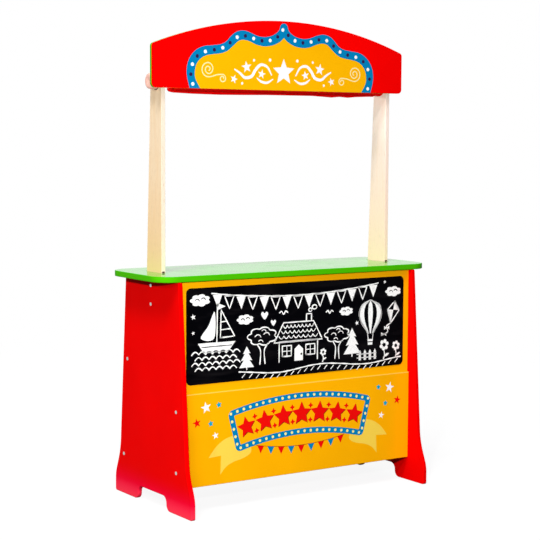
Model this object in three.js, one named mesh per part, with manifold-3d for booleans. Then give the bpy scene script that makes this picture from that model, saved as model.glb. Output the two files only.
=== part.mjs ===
// Puppet theatre stand: a low cabinet with a counter, two uprights, an arched sign board
// and a curtain that rolls up on a dowel behind the sign.
// Millimetres, +Z up, front towards -Y. The origin is on the floor under the middle of the stand.

import * as THREE from 'three';
import { mergeVertices } from 'three/addons/utils/BufferGeometryUtils.js';
import Module from 'manifold-3d';

const wasm = await Module();
wasm.setup();

// Whole stand
const standHeight = 1100;
const cabinetInnerWidth = 638;
const boardThickness = 10;
const arrisRadius = 1.2;
const boardCornerRadius = 2 * arrisRadius;
const seatGap = 0.3;
const cutOverrun = 2;

// Counter
const counterHeight = 530;
const counterOverhang = 46;
const counterDepth = 244;
const counterThickness = 13;
const counterCornerRadius = 45;

// Side panels, as depths across the stand and heights above the floor
const panelTopDepth = 244;
const kneeDepth = 305;
const kneeHeight = 102;
const kneeRadius = 170;
const footDepth = 354;
const ankleHeight = 43;
const ankleRadius = 70;
const panelTopCornerRadius = 5;
const footCornerRadius = 5;
const archDepth = 130;
const archHeight = 32;
const archCornerRadius = 15.5;
const toeRadius = 15.5;

// Front boards: a thin upper panel in grooves and a screwed lower board with a rebated top
const lowerBoardReach = 115.4;
const lowerBoardBottom = 56.6;
const lowerBoardTop = 267.5;
const lipThickness = 5.3;
const rebateHeight = 10;
const upperPanelThickness = 5;
const grooveDepth = 4;
const chalkSideMargin = 15.4;
const chalkTopMargin = 15.5;
const chalkBottomMargin = 18.6;
const chalkCornerRadius = 12;
const chalkThickness = 0.8;

// Shelves
const lowerShelfHeight = 94.7;
const middleShelfHeight = 320.8;
const shelfRearInset = 12;
const shelfCornerRadius = 4;

// Uprights
const postThickness = 10;
const postReach = 28;
const postWidthAtCounter = 68;
const postTopWidth = 46.4;
const postCoveredHeight = 75.2;
const postTailLength = 81;
const postTopCornerRadius = 14;
const postTailCornerRadius = 6;
const postBoltSetback = 30.6;
const upperBoltDepth = 29.1;
const lowerBoltDepth = 71.4;

// Sign board
const signOverhang = 28.8;
const signCrownHeight = 63.5;
const signEndHeight = 95.7;
const signThickness = 10;
const signBottomCornerRadius = 10;
const signTopCornerRadius = 8;

// Curtain roller
const rollerCoveredHeight = 15.2;
const rollerSetback = 24.5;
const dowelDiameter = 15;
const bearingClearance = 0.4;
const dowelEndInset = 6;
const knobDiameter = 35;
const knobThickness = 19;
const knobEdgeRadius = 4.5;
const knobHubDepth = 1.6;
const knobHubRadius = 11;
const endCapDiameter = 25;
const endCapThickness = 11;
const endCapEdgeRadius = 3;

// Curtain cloth
const curtainLeftMargin = 32.7;
const curtainRightMargin = 2.7;
const clothThickness = 2.85;
const windingPitch = 3.45;
const windingTurns = 4;
const waveDepth = 0.8;
const dropThickness = 1.6;
const dropLength = 12;
const hemHeight = 12;
const hemThickness = 7;
const hemCornerRadius = 3;
const hemRodDiameter = 4.4;
const hemRodInset = 5;

// Fasteners and dowel pins
const screwHeadDiameter = 10;
const screwHeadHeight = 2.4;
const screwShankDiameter = 4;
const woodScrewLength = 35;
const screwTipLength = 3;
const tipShare = 0.3;
const headDomeShare = 0.67;
const screwEdgeDistance = 10;
const lowerBoardScrewInset = 37.4;
const boltShankDiameter = 5;
const boltEndLength = 1.5;
const nutWidth = 8;
const nutThickness = 4;
const dowelPinDiameter = 6;
const dowelPinLength = 18;
const dowelPinPanelShare = 0.36;
const shelfPinSetback = 30;
const counterPinSpacing = 160;

// Steel angles
const angleLeg = 22;
const angleSheet = 2;
const angleLength = 24;
const angleBendRadius = 1.5;
const angleHoleSetback = 13;
const angleScrewHeadDiameter = 7;
const angleScrewHeadHeight = 1.8;
const angleScrewShankDiameter = 3;
const angleScrewLength = 9;
const signAngleDrop = 15;
const counterAngleSetback = 62;

// Places that follow from the sizes
const panelInner = cabinetInnerWidth / 2;
const panelOuter = panelInner + boardThickness;
const panelMiddle = (panelInner + panelOuter) / 2;
const counterUnderside = counterHeight - counterThickness;
const panelTop = counterUnderside - seatGap;
const lowerBoardFront = -lowerBoardReach;
const lowerBoardBack = lowerBoardFront + boardThickness;
const upperPanelFront = lowerBoardFront + lipThickness + seatGap;
const upperPanelBack = upperPanelFront + upperPanelThickness;
const upperPanelBottom = lowerBoardTop - rebateHeight + seatGap;
const postOuter = panelInner - seatGap;
const postInner = postOuter - postThickness;
const postFront = -postReach;
const postMiddle = (postOuter + postInner) / 2;
const postTailBottom = counterUnderside - postTailLength;
const counterLength = 2 * (panelOuter + counterOverhang);
const signBack = postFront - seatGap;
const signWidth = 2 * (postOuter + signOverhang);
const signShoulder = standHeight - signCrownHeight;
const signBottom = signShoulder - signEndHeight;
const postTopHeight = signBottom + postCoveredHeight;
const signAngleHeight = postTopHeight - signAngleDrop;
const rollerHeight = signBottom + rollerCoveredHeight;
const curtainWidth = 2 * postInner - curtainLeftMargin - curtainRightMargin;
const curtainShift = (curtainLeftMargin - curtainRightMargin) / 2;
const rollerSetY = postFront + rollerSetback;
const dowelRadius = dowelDiameter / 2;
const bearingRadius = dowelRadius + bearingClearance;
const windingBore = dowelRadius + seatGap;
const windingRadius = windingBore + windingTurns * windingPitch + clothThickness;
const screwHeadRadius = screwHeadDiameter / 2;
const screwShankRadius = screwShankDiameter / 2;
const boltShankRadius = boltShankDiameter / 2;
const pinRadius = dowelPinDiameter / 2;
const pinPanelDepth = dowelPinLength * dowelPinPanelShare;

// Facet counts
const roundSegments = 28;
const smallSegments = 12;
const nutCornerCount = 6;
const domeStepCount = 3;
const curveSegments = 4;
const bevelSegments = 1;
const segmentsPerTurnCount = 18;
const windingStationCount = 6;
const slowWaveCount = 3.4;
const quickWaveCount = 5;

const up = new THREE.Vector3(0, 0, 1);
const down = new THREE.Vector3(0, 0, -1);
const right = new THREE.Vector3(1, 0, 0);
const left = new THREE.Vector3(-1, 0, 0);
const back = new THREE.Vector3(0, 1, 0);
const forward = new THREE.Vector3(0, -1, 0);
const sides = [
  { name: 'left', sign: -1, outward: left, inward: right },
  { name: 'right', sign: 1, outward: right, inward: left },
];

// Paints and woods
const finishes = {
  redPaint: { color: 0xe60000, roughness: 0.35, metalness: 0 },
  greenPaint: { color: 0x35a703, roughness: 0.2, metalness: 0 },
  yellowPaint: { color: 0xfdb101, roughness: 0.35, metalness: 0 },
  chalkboard: { color: 0x0b0b0c, roughness: 0.8, metalness: 0 },
  paleWood: { color: 0xf0dcb8, roughness: 0.6, metalness: 0 },
  pinkWood: { color: 0xecbba9, roughness: 0.5, metalness: 0 },
  redCloth: { color: 0xae1512, roughness: 0.9, metalness: 0 },
  steel: { color: 0xb9bcc0, roughness: 0.3, metalness: 1 },
};

const stand = new THREE.Group();

// A point on one side of the stand, given by its distance out from the middle plane.
function onSide(side, outward, y, z) {
  return new THREE.Vector3(side.sign * outward, y, z);
}

function finish(name) {
  return new THREE.MeshStandardMaterial(finishes[name]);
}

// Turns a closed three.js geometry into a solid, the right side out.
function toSolid(geometry) {
  const shell = geometry.clone();
  shell.deleteAttribute('normal');
  shell.deleteAttribute('uv');
  const merged = mergeVertices(shell);
  const vertProperties = new Float32Array(merged.attributes.position.array);
  const triVerts = new Uint32Array(merged.index.array);
  return new wasm.Manifold(new wasm.Mesh({ numProp: 3, vertProperties, triVerts }));
}

function toGeometry(solid) {
  const mesh = solid.getMesh();
  const geometry = new THREE.BufferGeometry();
  geometry.setAttribute('position', new THREE.BufferAttribute(mesh.vertProperties, 3));
  geometry.setIndex(new THREE.BufferAttribute(mesh.triVerts, 1));
  geometry.computeVertexNormals();
  return geometry;
}

function addPiece(parent, name, geometry, finishName) {
  const mesh = new THREE.Mesh(geometry, finish(finishName));
  mesh.name = name;
  parent.add(mesh);
  return mesh;
}

// A closed outline with each corner [u, v, radius] rounded by an arc, which takes up to half of
// each edge that it joins.
function roundedShape(corners) {
  const shape = new THREE.Shape();
  const count = corners.length;
  corners.forEach(([u, v, wantedRadius], i) => {
    const [beforeU, beforeV] = corners[(i + count - 1) % count];
    const [afterU, afterV] = corners[(i + 1) % count];
    const corner = new THREE.Vector2(u, v);
    const toBefore = new THREE.Vector2(beforeU, beforeV).sub(corner);
    const toAfter = new THREE.Vector2(afterU, afterV).sub(corner);
    const room = Math.min(toBefore.length(), toAfter.length()) / 2;
    toBefore.normalize();
    toAfter.normalize();
    const halfAngle = Math.acos(THREE.MathUtils.clamp(toBefore.dot(toAfter), -1, 1)) / 2;
    const setback = Math.min(wantedRadius / Math.tan(halfAngle), room);
    const radius = setback * Math.tan(halfAngle);
    const start = corner.clone().addScaledVector(toBefore, setback);
    const end = corner.clone().addScaledVector(toAfter, setback);
    const bisector = toBefore.clone().add(toAfter).normalize();
    const centre = corner.clone().addScaledVector(bisector, radius / Math.sin(halfAngle));
    const startAngle = Math.atan2(start.y - centre.y, start.x - centre.x);
    const endAngle = Math.atan2(end.y - centre.y, end.x - centre.x);
    const clockwise = toBefore.cross(toAfter) > 0;
    if (wantedRadius === 0) {
      shape.lineTo(u, v);
    } else {
      shape.lineTo(start.x, start.y);
      shape.absarc(centre.x, centre.y, radius, startAngle, endAngle, clockwise);
    }
  });
  shape.curves.shift();
  shape.closePath();
  return shape;
}

function rectangleCorners(width, height, radius) {
  const u = width / 2;
  const v = height / 2;
  return [[-u, -v, radius], [u, -v, radius], [u, v, radius], [-u, v, radius]];
}

// A board of the given outline with eased edges, its thickness centred on the outline's plane.
function boardSolid(shape, thickness, easing = arrisRadius) {
  const geometry = new THREE.ExtrudeGeometry(shape, {
    depth: thickness - 2 * easing,
    bevelEnabled: easing > 0,
    bevelThickness: easing,
    bevelSize: easing,
    bevelOffset: -easing,
    bevelSegments,
    curveSegments,
  });
  geometry.translate(0, 0, easing - thickness / 2);
  return toSolid(geometry);
}

// Lays local u, v and w along the given directions; w is u cross v.
function basis(u, v) {
  return new THREE.Matrix4().makeBasis(u, v, new THREE.Vector3().crossVectors(u, v));
}

function turned(solid, u, v) {
  const geometry = toGeometry(solid);
  geometry.applyMatrix4(basis(u, v));
  return toSolid(geometry);
}

// A round cutter or bar from a start point along a direction.
function rod(start, direction, radius, length, segments = smallSegments) {
  const geometry = new THREE.CylinderGeometry(radius, radius, length, segments);
  geometry.rotateX(Math.PI / 2);
  geometry.translate(0, 0, length / 2);
  geometry.applyQuaternion(new THREE.Quaternion().setFromUnitVectors(up, direction));
  geometry.translate(start.x, start.y, start.z);
  return toSolid(geometry);
}

function block(low, high) {
  const size = high.clone().sub(low);
  const middle = high.clone().add(low).multiplyScalar(1 / 2);
  const geometry = new THREE.BoxGeometry(size.x, size.y, size.z);
  geometry.translate(middle.x, middle.y, middle.z);
  return toSolid(geometry);
}

// Moves a cutter that is placed in the stand's frame into the frame of a piece at place.
function cutAll(solid, cutters, place) {
  return cutters.reduce(
    (rest, cutter) => rest.subtract(cutter.translate(-place.x, -place.y, -place.z)),
    solid,
  );
}

function addAt(parent, name, solid, place, finishName) {
  const mesh = addPiece(parent, name, toGeometry(solid), finishName);
  mesh.position.copy(place);
  return mesh;
}

// Half the side panel's depth at a height, along its straight-sided outline.
function panelHalfDepthAt(height) {
  const stations = [
    [0, footDepth],
    [ankleHeight, footDepth],
    [kneeHeight, kneeDepth],
    [panelTop, panelTopDepth],
  ];
  const upper = stations.findIndex(([z]) => z > height);
  const [z0, depth0] = stations[upper - 1];
  const [z1, depth1] = stations[upper];
  return THREE.MathUtils.mapLinear(height, z0, z1, depth0, depth1) / 2;
}

const shelves = [
  { name: 'lower_shelf', height: lowerShelfHeight, front: lowerBoardBack + seatGap },
  { name: 'middle_shelf', height: middleShelfHeight, front: upperPanelBack + seatGap },
];
shelves.forEach((shelf) => {
  shelf.rear = panelHalfDepthAt(shelf.height) - shelfRearInset;
  shelf.screwY = shelf.rear - screwEdgeDistance;
  shelf.pinY = shelf.front + shelfPinSetback;
});

// Wood screws through each side panel into the ends of the boards between the panels
const lowerBoardMiddle = (lowerBoardFront + lowerBoardBack) / 2;
const sideScrews = [
  { name: 'lower_board_screw_top', y: lowerBoardMiddle, z: lowerBoardTop - lowerBoardScrewInset },
  { name: 'lower_board_screw_bottom', y: lowerBoardMiddle, z: lowerBoardBottom + lowerBoardScrewInset },
  ...shelves.map((shelf) => ({ name: `${shelf.name}_screw`, y: shelf.screwY, z: shelf.height })),
];
const postBolts = [
  { name: 'post_bolt_upper', y: postFront + postBoltSetback, z: counterHeight - upperBoltDepth },
  { name: 'post_bolt_lower', y: postFront + postBoltSetback, z: counterHeight - lowerBoltDepth },
];
const counterPinsY = [-counterPinSpacing / 2, counterPinSpacing / 2];
const counterPinTop = counterUnderside + pinPanelDepth;

function fastenerHoles(side, shankRadius, places, length) {
  return places.map(({ y, z }) => {
    const start = onSide(side, panelOuter + cutOverrun, y, z);
    return rod(start, side.inward, shankRadius + seatGap, length + cutOverrun);
  });
}

function woodScrewHoles(side) {
  return fastenerHoles(side, screwShankRadius, sideScrews, woodScrewLength + 2 * seatGap);
}

function postBoltHoles(side) {
  return fastenerHoles(side, boltShankRadius, postBolts, boardThickness + postThickness + cutOverrun);
}

// Holes for the dowel pins between a shelf's end and the side panel
function shelfPinHoles(side) {
  return shelves.map((shelf) => {
    const start = onSide(side, panelInner + pinPanelDepth + seatGap, shelf.pinY, shelf.height);
    return rod(start, side.inward, pinRadius + seatGap, dowelPinLength + 2 * seatGap);
  });
}

// Holes for the dowel pins between the counter and the top edge of the side panel
function counterPinHoles(side) {
  return counterPinsY.map((y) => {
    const start = onSide(side, panelMiddle, y, counterPinTop + seatGap);
    return rod(start, down, pinRadius + seatGap, dowelPinLength + 2 * seatGap);
  });
}

// Screws of the angle between a side panel and the counter's underside
const counterAngleTop = counterUnderside - seatGap;
const counterAngleBack = panelInner - seatGap;
const counterAngleScrews = (side) => [
  {
    name: `counter_angle_screw_top_${side.name}`,
    seat: onSide(
      side,
      counterAngleBack - angleHoleSetback,
      counterAngleSetback,
      counterAngleTop - angleSheet,
    ),
    direction: up,
  },
  {
    name: `counter_angle_screw_side_${side.name}`,
    seat: onSide(
      side,
      counterAngleBack - angleSheet,
      counterAngleSetback,
      counterAngleTop - angleHoleSetback,
    ),
    direction: side.outward,
  },
];

// Screws of the angle between an upright and the sign board's back
const signAngleFront = signBack + seatGap;
const signAngleBack = postInner - seatGap;
const signAngleScrews = (side) => [
  {
    name: `sign_angle_screw_front_${side.name}`,
    seat: onSide(side, signAngleBack - angleHoleSetback, signAngleFront + angleSheet, signAngleHeight),
    direction: forward,
  },
  {
    name: `sign_angle_screw_side_${side.name}`,
    seat: onSide(side, signAngleBack - angleSheet, signAngleFront + angleHoleSetback, signAngleHeight),
    direction: side.outward,
  },
];

function angleScrewHoles(screws) {
  const radius = angleScrewShankDiameter / 2 + seatGap;
  const length = angleScrewLength + seatGap + cutOverrun;
  return screws.map(({ seat, direction }) => {
    const start = seat.clone().addScaledVector(direction, -cutOverrun);
    return rod(start, direction, radius, length);
  });
}

// Side panel: slanting edges that flare into feet, an arch between the feet and a groove inside.
function addSidePanel(parent, side) {
  const top = panelTopDepth / 2;
  const knee = kneeDepth / 2;
  const foot = footDepth / 2;
  const arch = archDepth / 2;
  const half = [
    [arch, archHeight, archCornerRadius],
    [arch, 0, toeRadius],
    [foot, 0, footCornerRadius],
    [foot, ankleHeight, ankleRadius],
    [knee, kneeHeight, kneeRadius],
    [top, panelTop, panelTopCornerRadius],
  ];
  const mirrored = half.map(([y, z, radius]) => [-y, z, radius]).reverse();
  const outline = roundedShape([...half, ...mirrored]);
  const place = onSide(side, panelMiddle, 0, 0);
  const groove = block(
    new THREE.Vector3(panelInner - cutOverrun, upperPanelFront - seatGap, upperPanelBottom - seatGap),
    new THREE.Vector3(panelInner + grooveDepth, upperPanelBack + seatGap, panelTop + cutOverrun),
  );
  const grooveHere = side.sign > 0 ? groove : groove.mirror([1, 0, 0]);
  const cutters = [
    grooveHere,
    ...woodScrewHoles(side),
    ...postBoltHoles(side),
    ...shelfPinHoles(side),
    ...counterPinHoles(side),
    ...angleScrewHoles(counterAngleScrews(side)),
  ];
  const blank = turned(boardSolid(outline, boardThickness), back, up);
  addAt(parent, `side_panel_${side.name}`, cutAll(blank, cutters, place), place, 'redPaint');
}

// Counter: rounded corners and a router slot with round ends for each upright.
function addCounter(parent) {
  const outline = roundedShape(rectangleCorners(counterLength, counterDepth, counterCornerRadius));
  const slotRadius = postThickness / 2 + seatGap;
  const slotFront = postFront - seatGap;
  const slotRear = postFront + postWidthAtCounter + seatGap;
  sides.forEach(({ sign }) => {
    const slot = new THREE.Path();
    slot.absarc(sign * postMiddle, slotRear, slotRadius, 0, Math.PI, false);
    slot.absarc(sign * postMiddle, slotFront, slotRadius, Math.PI, 2 * Math.PI, false);
    slot.closePath();
    outline.holes.push(slot);
  });
  const place = new THREE.Vector3(0, 0, counterHeight - counterThickness / 2);
  const cutters = sides.flatMap((side) => [
    ...counterPinHoles(side),
    ...angleScrewHoles(counterAngleScrews(side)),
  ]);
  const board = boardSolid(outline, counterThickness);
  addAt(parent, 'counter', cutAll(board, cutters, place), place, 'greenPaint');
}

// Upper front panel, held in the side panels' grooves and behind the lower board's lip
function addUpperPanel(parent) {
  const width = 2 * (panelInner + grooveDepth - seatGap);
  const height = panelTop - upperPanelBottom;
  const outline = roundedShape(rectangleCorners(width, height, boardCornerRadius));
  const place = new THREE.Vector3(0, (upperPanelFront + upperPanelBack) / 2, upperPanelBottom + height / 2);
  const panel = turned(boardSolid(outline, upperPanelThickness, arrisRadius / 2), right, up);
  addAt(parent, 'upper_front_panel', panel, place, 'yellowPaint');
}

// Chalkboard sheet bonded to the upper front panel, with a yellow margin all round
function addChalkboard(parent) {
  const top = counterUnderside - chalkTopMargin;
  const bottom = lowerBoardTop + chalkBottomMargin;
  const width = 2 * (panelInner - chalkSideMargin);
  const outline = roundedShape(rectangleCorners(width, top - bottom, chalkCornerRadius));
  const place = new THREE.Vector3(0, upperPanelFront - seatGap - chalkThickness / 2, (top + bottom) / 2);
  const sheet = turned(boardSolid(outline, chalkThickness, chalkThickness / 4), right, up);
  addAt(parent, 'chalkboard_sheet', sheet, place, 'chalkboard');
}

// Lower front board, with a rebate along its top that takes the upper panel
function addLowerBoard(parent) {
  const width = 2 * (panelInner - seatGap);
  const height = lowerBoardTop - lowerBoardBottom;
  const outline = roundedShape(rectangleCorners(width, height, boardCornerRadius));
  const place = new THREE.Vector3(0, lowerBoardMiddle, lowerBoardBottom + height / 2);
  const rebate = block(
    new THREE.Vector3(-panelInner, lowerBoardFront + lipThickness, lowerBoardTop - rebateHeight),
    new THREE.Vector3(panelInner, lowerBoardBack + cutOverrun, lowerBoardTop + cutOverrun),
  );
  const board = turned(boardSolid(outline, boardThickness), right, up);
  const cutters = [rebate, ...sides.flatMap(woodScrewHoles)];
  addAt(parent, 'lower_front_board', cutAll(board, cutters, place), place, 'yellowPaint');
}

function addShelf(parent, shelf) {
  const width = 2 * (panelInner - seatGap);
  const outline = roundedShape(rectangleCorners(width, shelf.rear - shelf.front, shelfCornerRadius));
  const place = new THREE.Vector3(0, (shelf.front + shelf.rear) / 2, shelf.height);
  const cutters = sides.flatMap((side) => [...woodScrewHoles(side), ...shelfPinHoles(side)]);
  addAt(parent, shelf.name, cutAll(boardSolid(outline, boardThickness), cutters, place), place, 'redPaint');
}

// Upright: a straight front edge and a rear edge that tapers above the counter
function addPost(parent, side) {
  const rearAtCounter = postFront + postWidthAtCounter;
  const outline = roundedShape([
    [postFront, postTailBottom, postTailCornerRadius],
    [rearAtCounter, postTailBottom, postTailCornerRadius],
    [rearAtCounter, counterHeight, 0],
    [postFront + postTopWidth, postTopHeight, postTopCornerRadius],
    [postFront, postTopHeight, boardCornerRadius],
  ]);
  const place = onSide(side, postMiddle, 0, 0);
  const bearing = rod(
    onSide(side, postOuter + cutOverrun, rollerSetY, rollerHeight),
    side.inward,
    bearingRadius,
    postThickness + 2 * cutOverrun,
    roundSegments,
  );
  const cutters = [bearing, ...postBoltHoles(side), ...angleScrewHoles(signAngleScrews(side))];
  const blank = turned(boardSolid(outline, postThickness), back, up);
  addAt(parent, `post_${side.name}`, cutAll(blank, cutters, place), place, 'paleWood');
}

// Sign board: straight foot and ends, and one wide arc over the top
function signShape() {
  const half = signWidth / 2;
  const rise = standHeight - signShoulder;
  const archRadius = (half * half + rise * rise) / (2 * rise);
  const archCentre = standHeight - archRadius;
  const blendU = half - signTopCornerRadius;
  const blendReach = archRadius - signTopCornerRadius;
  const blendV = archCentre + Math.sqrt(blendReach * blendReach - blendU * blendU);
  const blendAngle = Math.atan2(blendV - archCentre, blendU);
  const footU = half - signBottomCornerRadius;
  const footV = signBottom + signBottomCornerRadius;
  const shape = new THREE.Shape();
  shape.absarc(footU, footV, signBottomCornerRadius, -Math.PI / 2, 0, false);
  shape.absarc(blendU, blendV, signTopCornerRadius, 0, blendAngle, false);
  const archArcCount = 3;
  const archSweep = (Math.PI - 2 * blendAngle) / archArcCount;
  for (let i = 0; i < archArcCount; i += 1) {
    const from = blendAngle + i * archSweep;
    shape.absarc(0, archCentre, archRadius, from, from + archSweep, false);
  }
  shape.absarc(-blendU, blendV, signTopCornerRadius, Math.PI - blendAngle, Math.PI, false);
  shape.absarc(-footU, footV, signBottomCornerRadius, Math.PI, 3 * Math.PI / 2, false);
  shape.closePath();
  return shape;
}

function addSign(parent) {
  const place = new THREE.Vector3(0, signBack - signThickness / 2, 0);
  const cutters = sides.flatMap((side) => angleScrewHoles(signAngleScrews(side)));
  const board = turned(boardSolid(signShape(), signThickness), right, up);
  addAt(parent, 'sign_board', cutAll(board, cutters, place), place, 'redPaint');
}

// A turned piece: the profile lists [radius, height] from axis to axis along local +Z.
function lathe(profile, segments) {
  const points = profile.map(([radius, height]) => new THREE.Vector2(radius, height));
  const geometry = new THREE.LatheGeometry(points, segments);
  geometry.rotateX(Math.PI / 2);
  return toSolid(geometry);
}

// Quarter circle from [radius, height] stations of a rounded rim, bulging outwards.
function rim(radius, height, edge, startAngle, steps = curveSegments) {
  return Array.from({ length: steps + 1 }, (_, i) => {
    const angle = startAngle + (i / steps) * (Math.PI / 2);
    return [radius + edge * Math.cos(angle), height + edge * Math.sin(angle)];
  });
}

// A fastener with its head above the seat at z = 0 and its shank below, pointed for wood.
function fastener(headRadius, headHeight, shankRadius, length, tipLength) {
  const domeHeight = headHeight * headDomeShare;
  const dome = Array.from({ length: domeStepCount + 1 }, (_, i) => {
    const angle = (i / domeStepCount) * (Math.PI / 2);
    return [headRadius * Math.cos(angle), headHeight - domeHeight + domeHeight * Math.sin(angle)];
  });
  dome[domeStepCount][0] = 0;
  const profile = [
    [0, -length],
    [tipLength > 0 ? shankRadius * tipShare : shankRadius, -length],
    ...(tipLength > 0 ? [[shankRadius, tipLength - length]] : []),
    [shankRadius, 0],
    [headRadius, 0],
    ...dome,
  ];
  return lathe(profile, smallSegments);
}

function addFastener(parent, name, solid, seat, direction) {
  const mesh = addPiece(parent, name, toGeometry(solid), 'steel');
  mesh.position.copy(seat).addScaledVector(direction, -seatGap);
  mesh.quaternion.setFromUnitVectors(down, direction);
}

function addSideFasteners(parent, side) {
  const woodScrew = fastener(
    screwHeadRadius,
    screwHeadHeight,
    screwShankRadius,
    woodScrewLength,
    screwTipLength,
  );
  sideScrews.forEach(({ name, y, z }) => {
    const seat = onSide(side, panelOuter, y, z);
    addFastener(parent, `${name}_${side.name}`, woodScrew, seat, side.inward);
  });
  const boltLength = panelOuter - postInner + nutThickness + boltEndLength + 2 * seatGap;
  const bolt = fastener(screwHeadRadius, screwHeadHeight, boltShankRadius, boltLength, 0);
  postBolts.forEach(({ name, y, z }) => {
    const seat = onSide(side, panelOuter, y, z);
    addFastener(parent, `${name}_${side.name}`, bolt, seat, side.inward);
    const nutSeat = onSide(side, postInner - seatGap, y, z);
    addNut(parent, `${name}_nut_${side.name}`, nutSeat, side.inward);
  });
}

function addNut(parent, name, seat, direction) {
  const cornerRadius = nutWidth / Math.sqrt(3);
  const origin = new THREE.Vector3();
  const hexagon = rod(origin, up, cornerRadius, nutThickness, nutCornerCount);
  const boreStart = new THREE.Vector3(0, 0, -cutOverrun);
  const bore = rod(boreStart, up, boltShankRadius + seatGap, nutThickness + 2 * cutOverrun);
  const mesh = addPiece(parent, name, toGeometry(hexagon.subtract(bore)), 'steel');
  mesh.position.copy(seat);
  mesh.quaternion.setFromUnitVectors(up, direction);
}

function addDowelPin(parent, name, start, direction) {
  const easing = pinRadius / 4;
  const pin = lathe([
    [0, 0],
    [pinRadius - easing, 0],
    [pinRadius, easing],
    [pinRadius, dowelPinLength - easing],
    [pinRadius - easing, dowelPinLength],
    [0, dowelPinLength],
  ], smallSegments);
  const mesh = addPiece(parent, name, toGeometry(pin), 'paleWood');
  mesh.position.copy(start);
  mesh.quaternion.setFromUnitVectors(up, direction);
}

function addDowelPins(parent, side) {
  shelves.forEach((shelf) => {
    const start = onSide(side, panelInner + pinPanelDepth, shelf.pinY, shelf.height);
    addDowelPin(parent, `${shelf.name}_pin_${side.name}`, start, side.inward);
  });
  counterPinsY.forEach((y) => {
    const place = y < 0 ? 'front' : 'rear';
    const start = onSide(side, panelMiddle, y, counterPinTop);
    addDowelPin(parent, `counter_pin_${place}_${side.name}`, start, down);
  });
}

// Bent steel angle with one leg along local u and one along local v, drilled once in each
function angleSolid() {
  const outline = roundedShape([
    [0, 0, angleBendRadius + angleSheet],
    [angleLeg, 0, 0],
    [angleLeg, angleSheet, 0],
    [angleSheet, angleSheet, angleBendRadius],
    [angleSheet, angleLeg, 0],
    [0, angleLeg, 0],
  ]);
  const solid = boardSolid(outline, angleLength, 0);
  const radius = angleScrewShankDiameter / 2 + seatGap;
  const throughLength = angleSheet + 2 * cutOverrun;
  const holeInU = rod(new THREE.Vector3(angleHoleSetback, -cutOverrun, 0), back, radius, throughLength);
  const holeInV = rod(new THREE.Vector3(-cutOverrun, angleHoleSetback, 0), right, radius, throughLength);
  return solid.subtract(holeInU).subtract(holeInV);
}

function addAngle(parent, name, corner, u, v, screws) {
  const mesh = addPiece(parent, name, toGeometry(angleSolid()), 'steel');
  mesh.position.copy(corner);
  mesh.quaternion.setFromRotationMatrix(basis(u, v));
  const screw = fastener(
    angleScrewHeadDiameter / 2,
    angleScrewHeadHeight,
    angleScrewShankDiameter / 2,
    angleScrewLength,
    angleScrewShankDiameter / 2,
  );
  screws.forEach(({ name: screwName, seat, direction }) => {
    addFastener(parent, screwName, screw, seat, direction);
  });
}

function addAngles(parent, side) {
  const underCounter = onSide(side, counterAngleBack, counterAngleSetback, counterAngleTop);
  addAngle(parent, `counter_angle_${side.name}`, underCounter, side.inward, down, counterAngleScrews(side));
  const behindSign = onSide(side, signAngleBack, signAngleFront, signAngleHeight);
  addAngle(parent, `sign_angle_${side.name}`, behindSign, side.inward, back, signAngleScrews(side));
}

// Dowel that carries the curtain, running in both uprights
function addDowel(parent) {
  const knobSeat = postOuter + seatGap;
  const leftEnd = knobSeat + knobThickness - dowelEndInset;
  const rightEnd = knobSeat + endCapThickness - dowelEndInset;
  const start = new THREE.Vector3(-leftEnd, 0, 0);
  const dowel = rod(start, right, dowelRadius, leftEnd + rightEnd, roundSegments);
  addPiece(parent, 'curtain_dowel', toGeometry(dowel), 'paleWood');
}

// Blind hole that a knob or cap has for the dowel's end
function endSocket(depth) {
  const start = new THREE.Vector3(0, 0, -cutOverrun);
  return rod(start, up, dowelRadius + seatGap, depth + seatGap + cutOverrun, roundSegments);
}

// Turned knob on the dowel's left end, with a shallow dish in its face
function addKnob(parent) {
  const radius = knobDiameter / 2;
  const knob = lathe([
    [0, 0],
    ...rim(radius - knobEdgeRadius, knobEdgeRadius, knobEdgeRadius, -Math.PI / 2),
    ...rim(radius - knobEdgeRadius, knobThickness - knobEdgeRadius, knobEdgeRadius, 0),
    [knobHubRadius, knobThickness],
    [knobHubRadius - knobHubDepth, knobThickness - knobHubDepth],
    [0, knobThickness - knobHubDepth],
  ], roundSegments);
  const socket = endSocket(knobThickness - dowelEndInset);
  const mesh = addPiece(parent, 'curtain_knob', toGeometry(knob.subtract(socket)), 'pinkWood');
  mesh.position.set(-postOuter - seatGap, 0, 0);
  mesh.quaternion.setFromUnitVectors(up, left);
}

// Plain cap on the dowel's right end
function addEndCap(parent) {
  const radius = endCapDiameter / 2;
  const cap = lathe([
    [0, 0],
    [radius, 0],
    ...rim(radius - endCapEdgeRadius, endCapThickness - endCapEdgeRadius, endCapEdgeRadius, 0),
    [0, endCapThickness],
  ], roundSegments);
  const socket = endSocket(endCapThickness - dowelEndInset);
  const mesh = addPiece(parent, 'dowel_end_cap', toGeometry(cap.subtract(socket)), 'pinkWood');
  mesh.position.set(postOuter + seatGap, 0, 0);
  mesh.quaternion.setFromUnitVectors(up, right);
}

// Outer radius of the wound cloth: it shrinks by one pitch a turn, and gentle waves along the
// roll take a little off towards the outside while the bore stays true.
function windingOuterRadius(turn, along) {
  const plain = windingRadius - windingPitch * turn;
  const outwardShare = (plain - windingBore) / (windingRadius - windingBore);
  const slowWave = Math.sin(slowWaveCount * Math.PI * along);
  const quickWave = Math.cos(quickWaveCount * Math.PI * along);
  const waveShare = (1 + slowWave * quickWave) / 2;
  return plain - waveDepth * waveShare * outwardShare;
}

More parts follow.
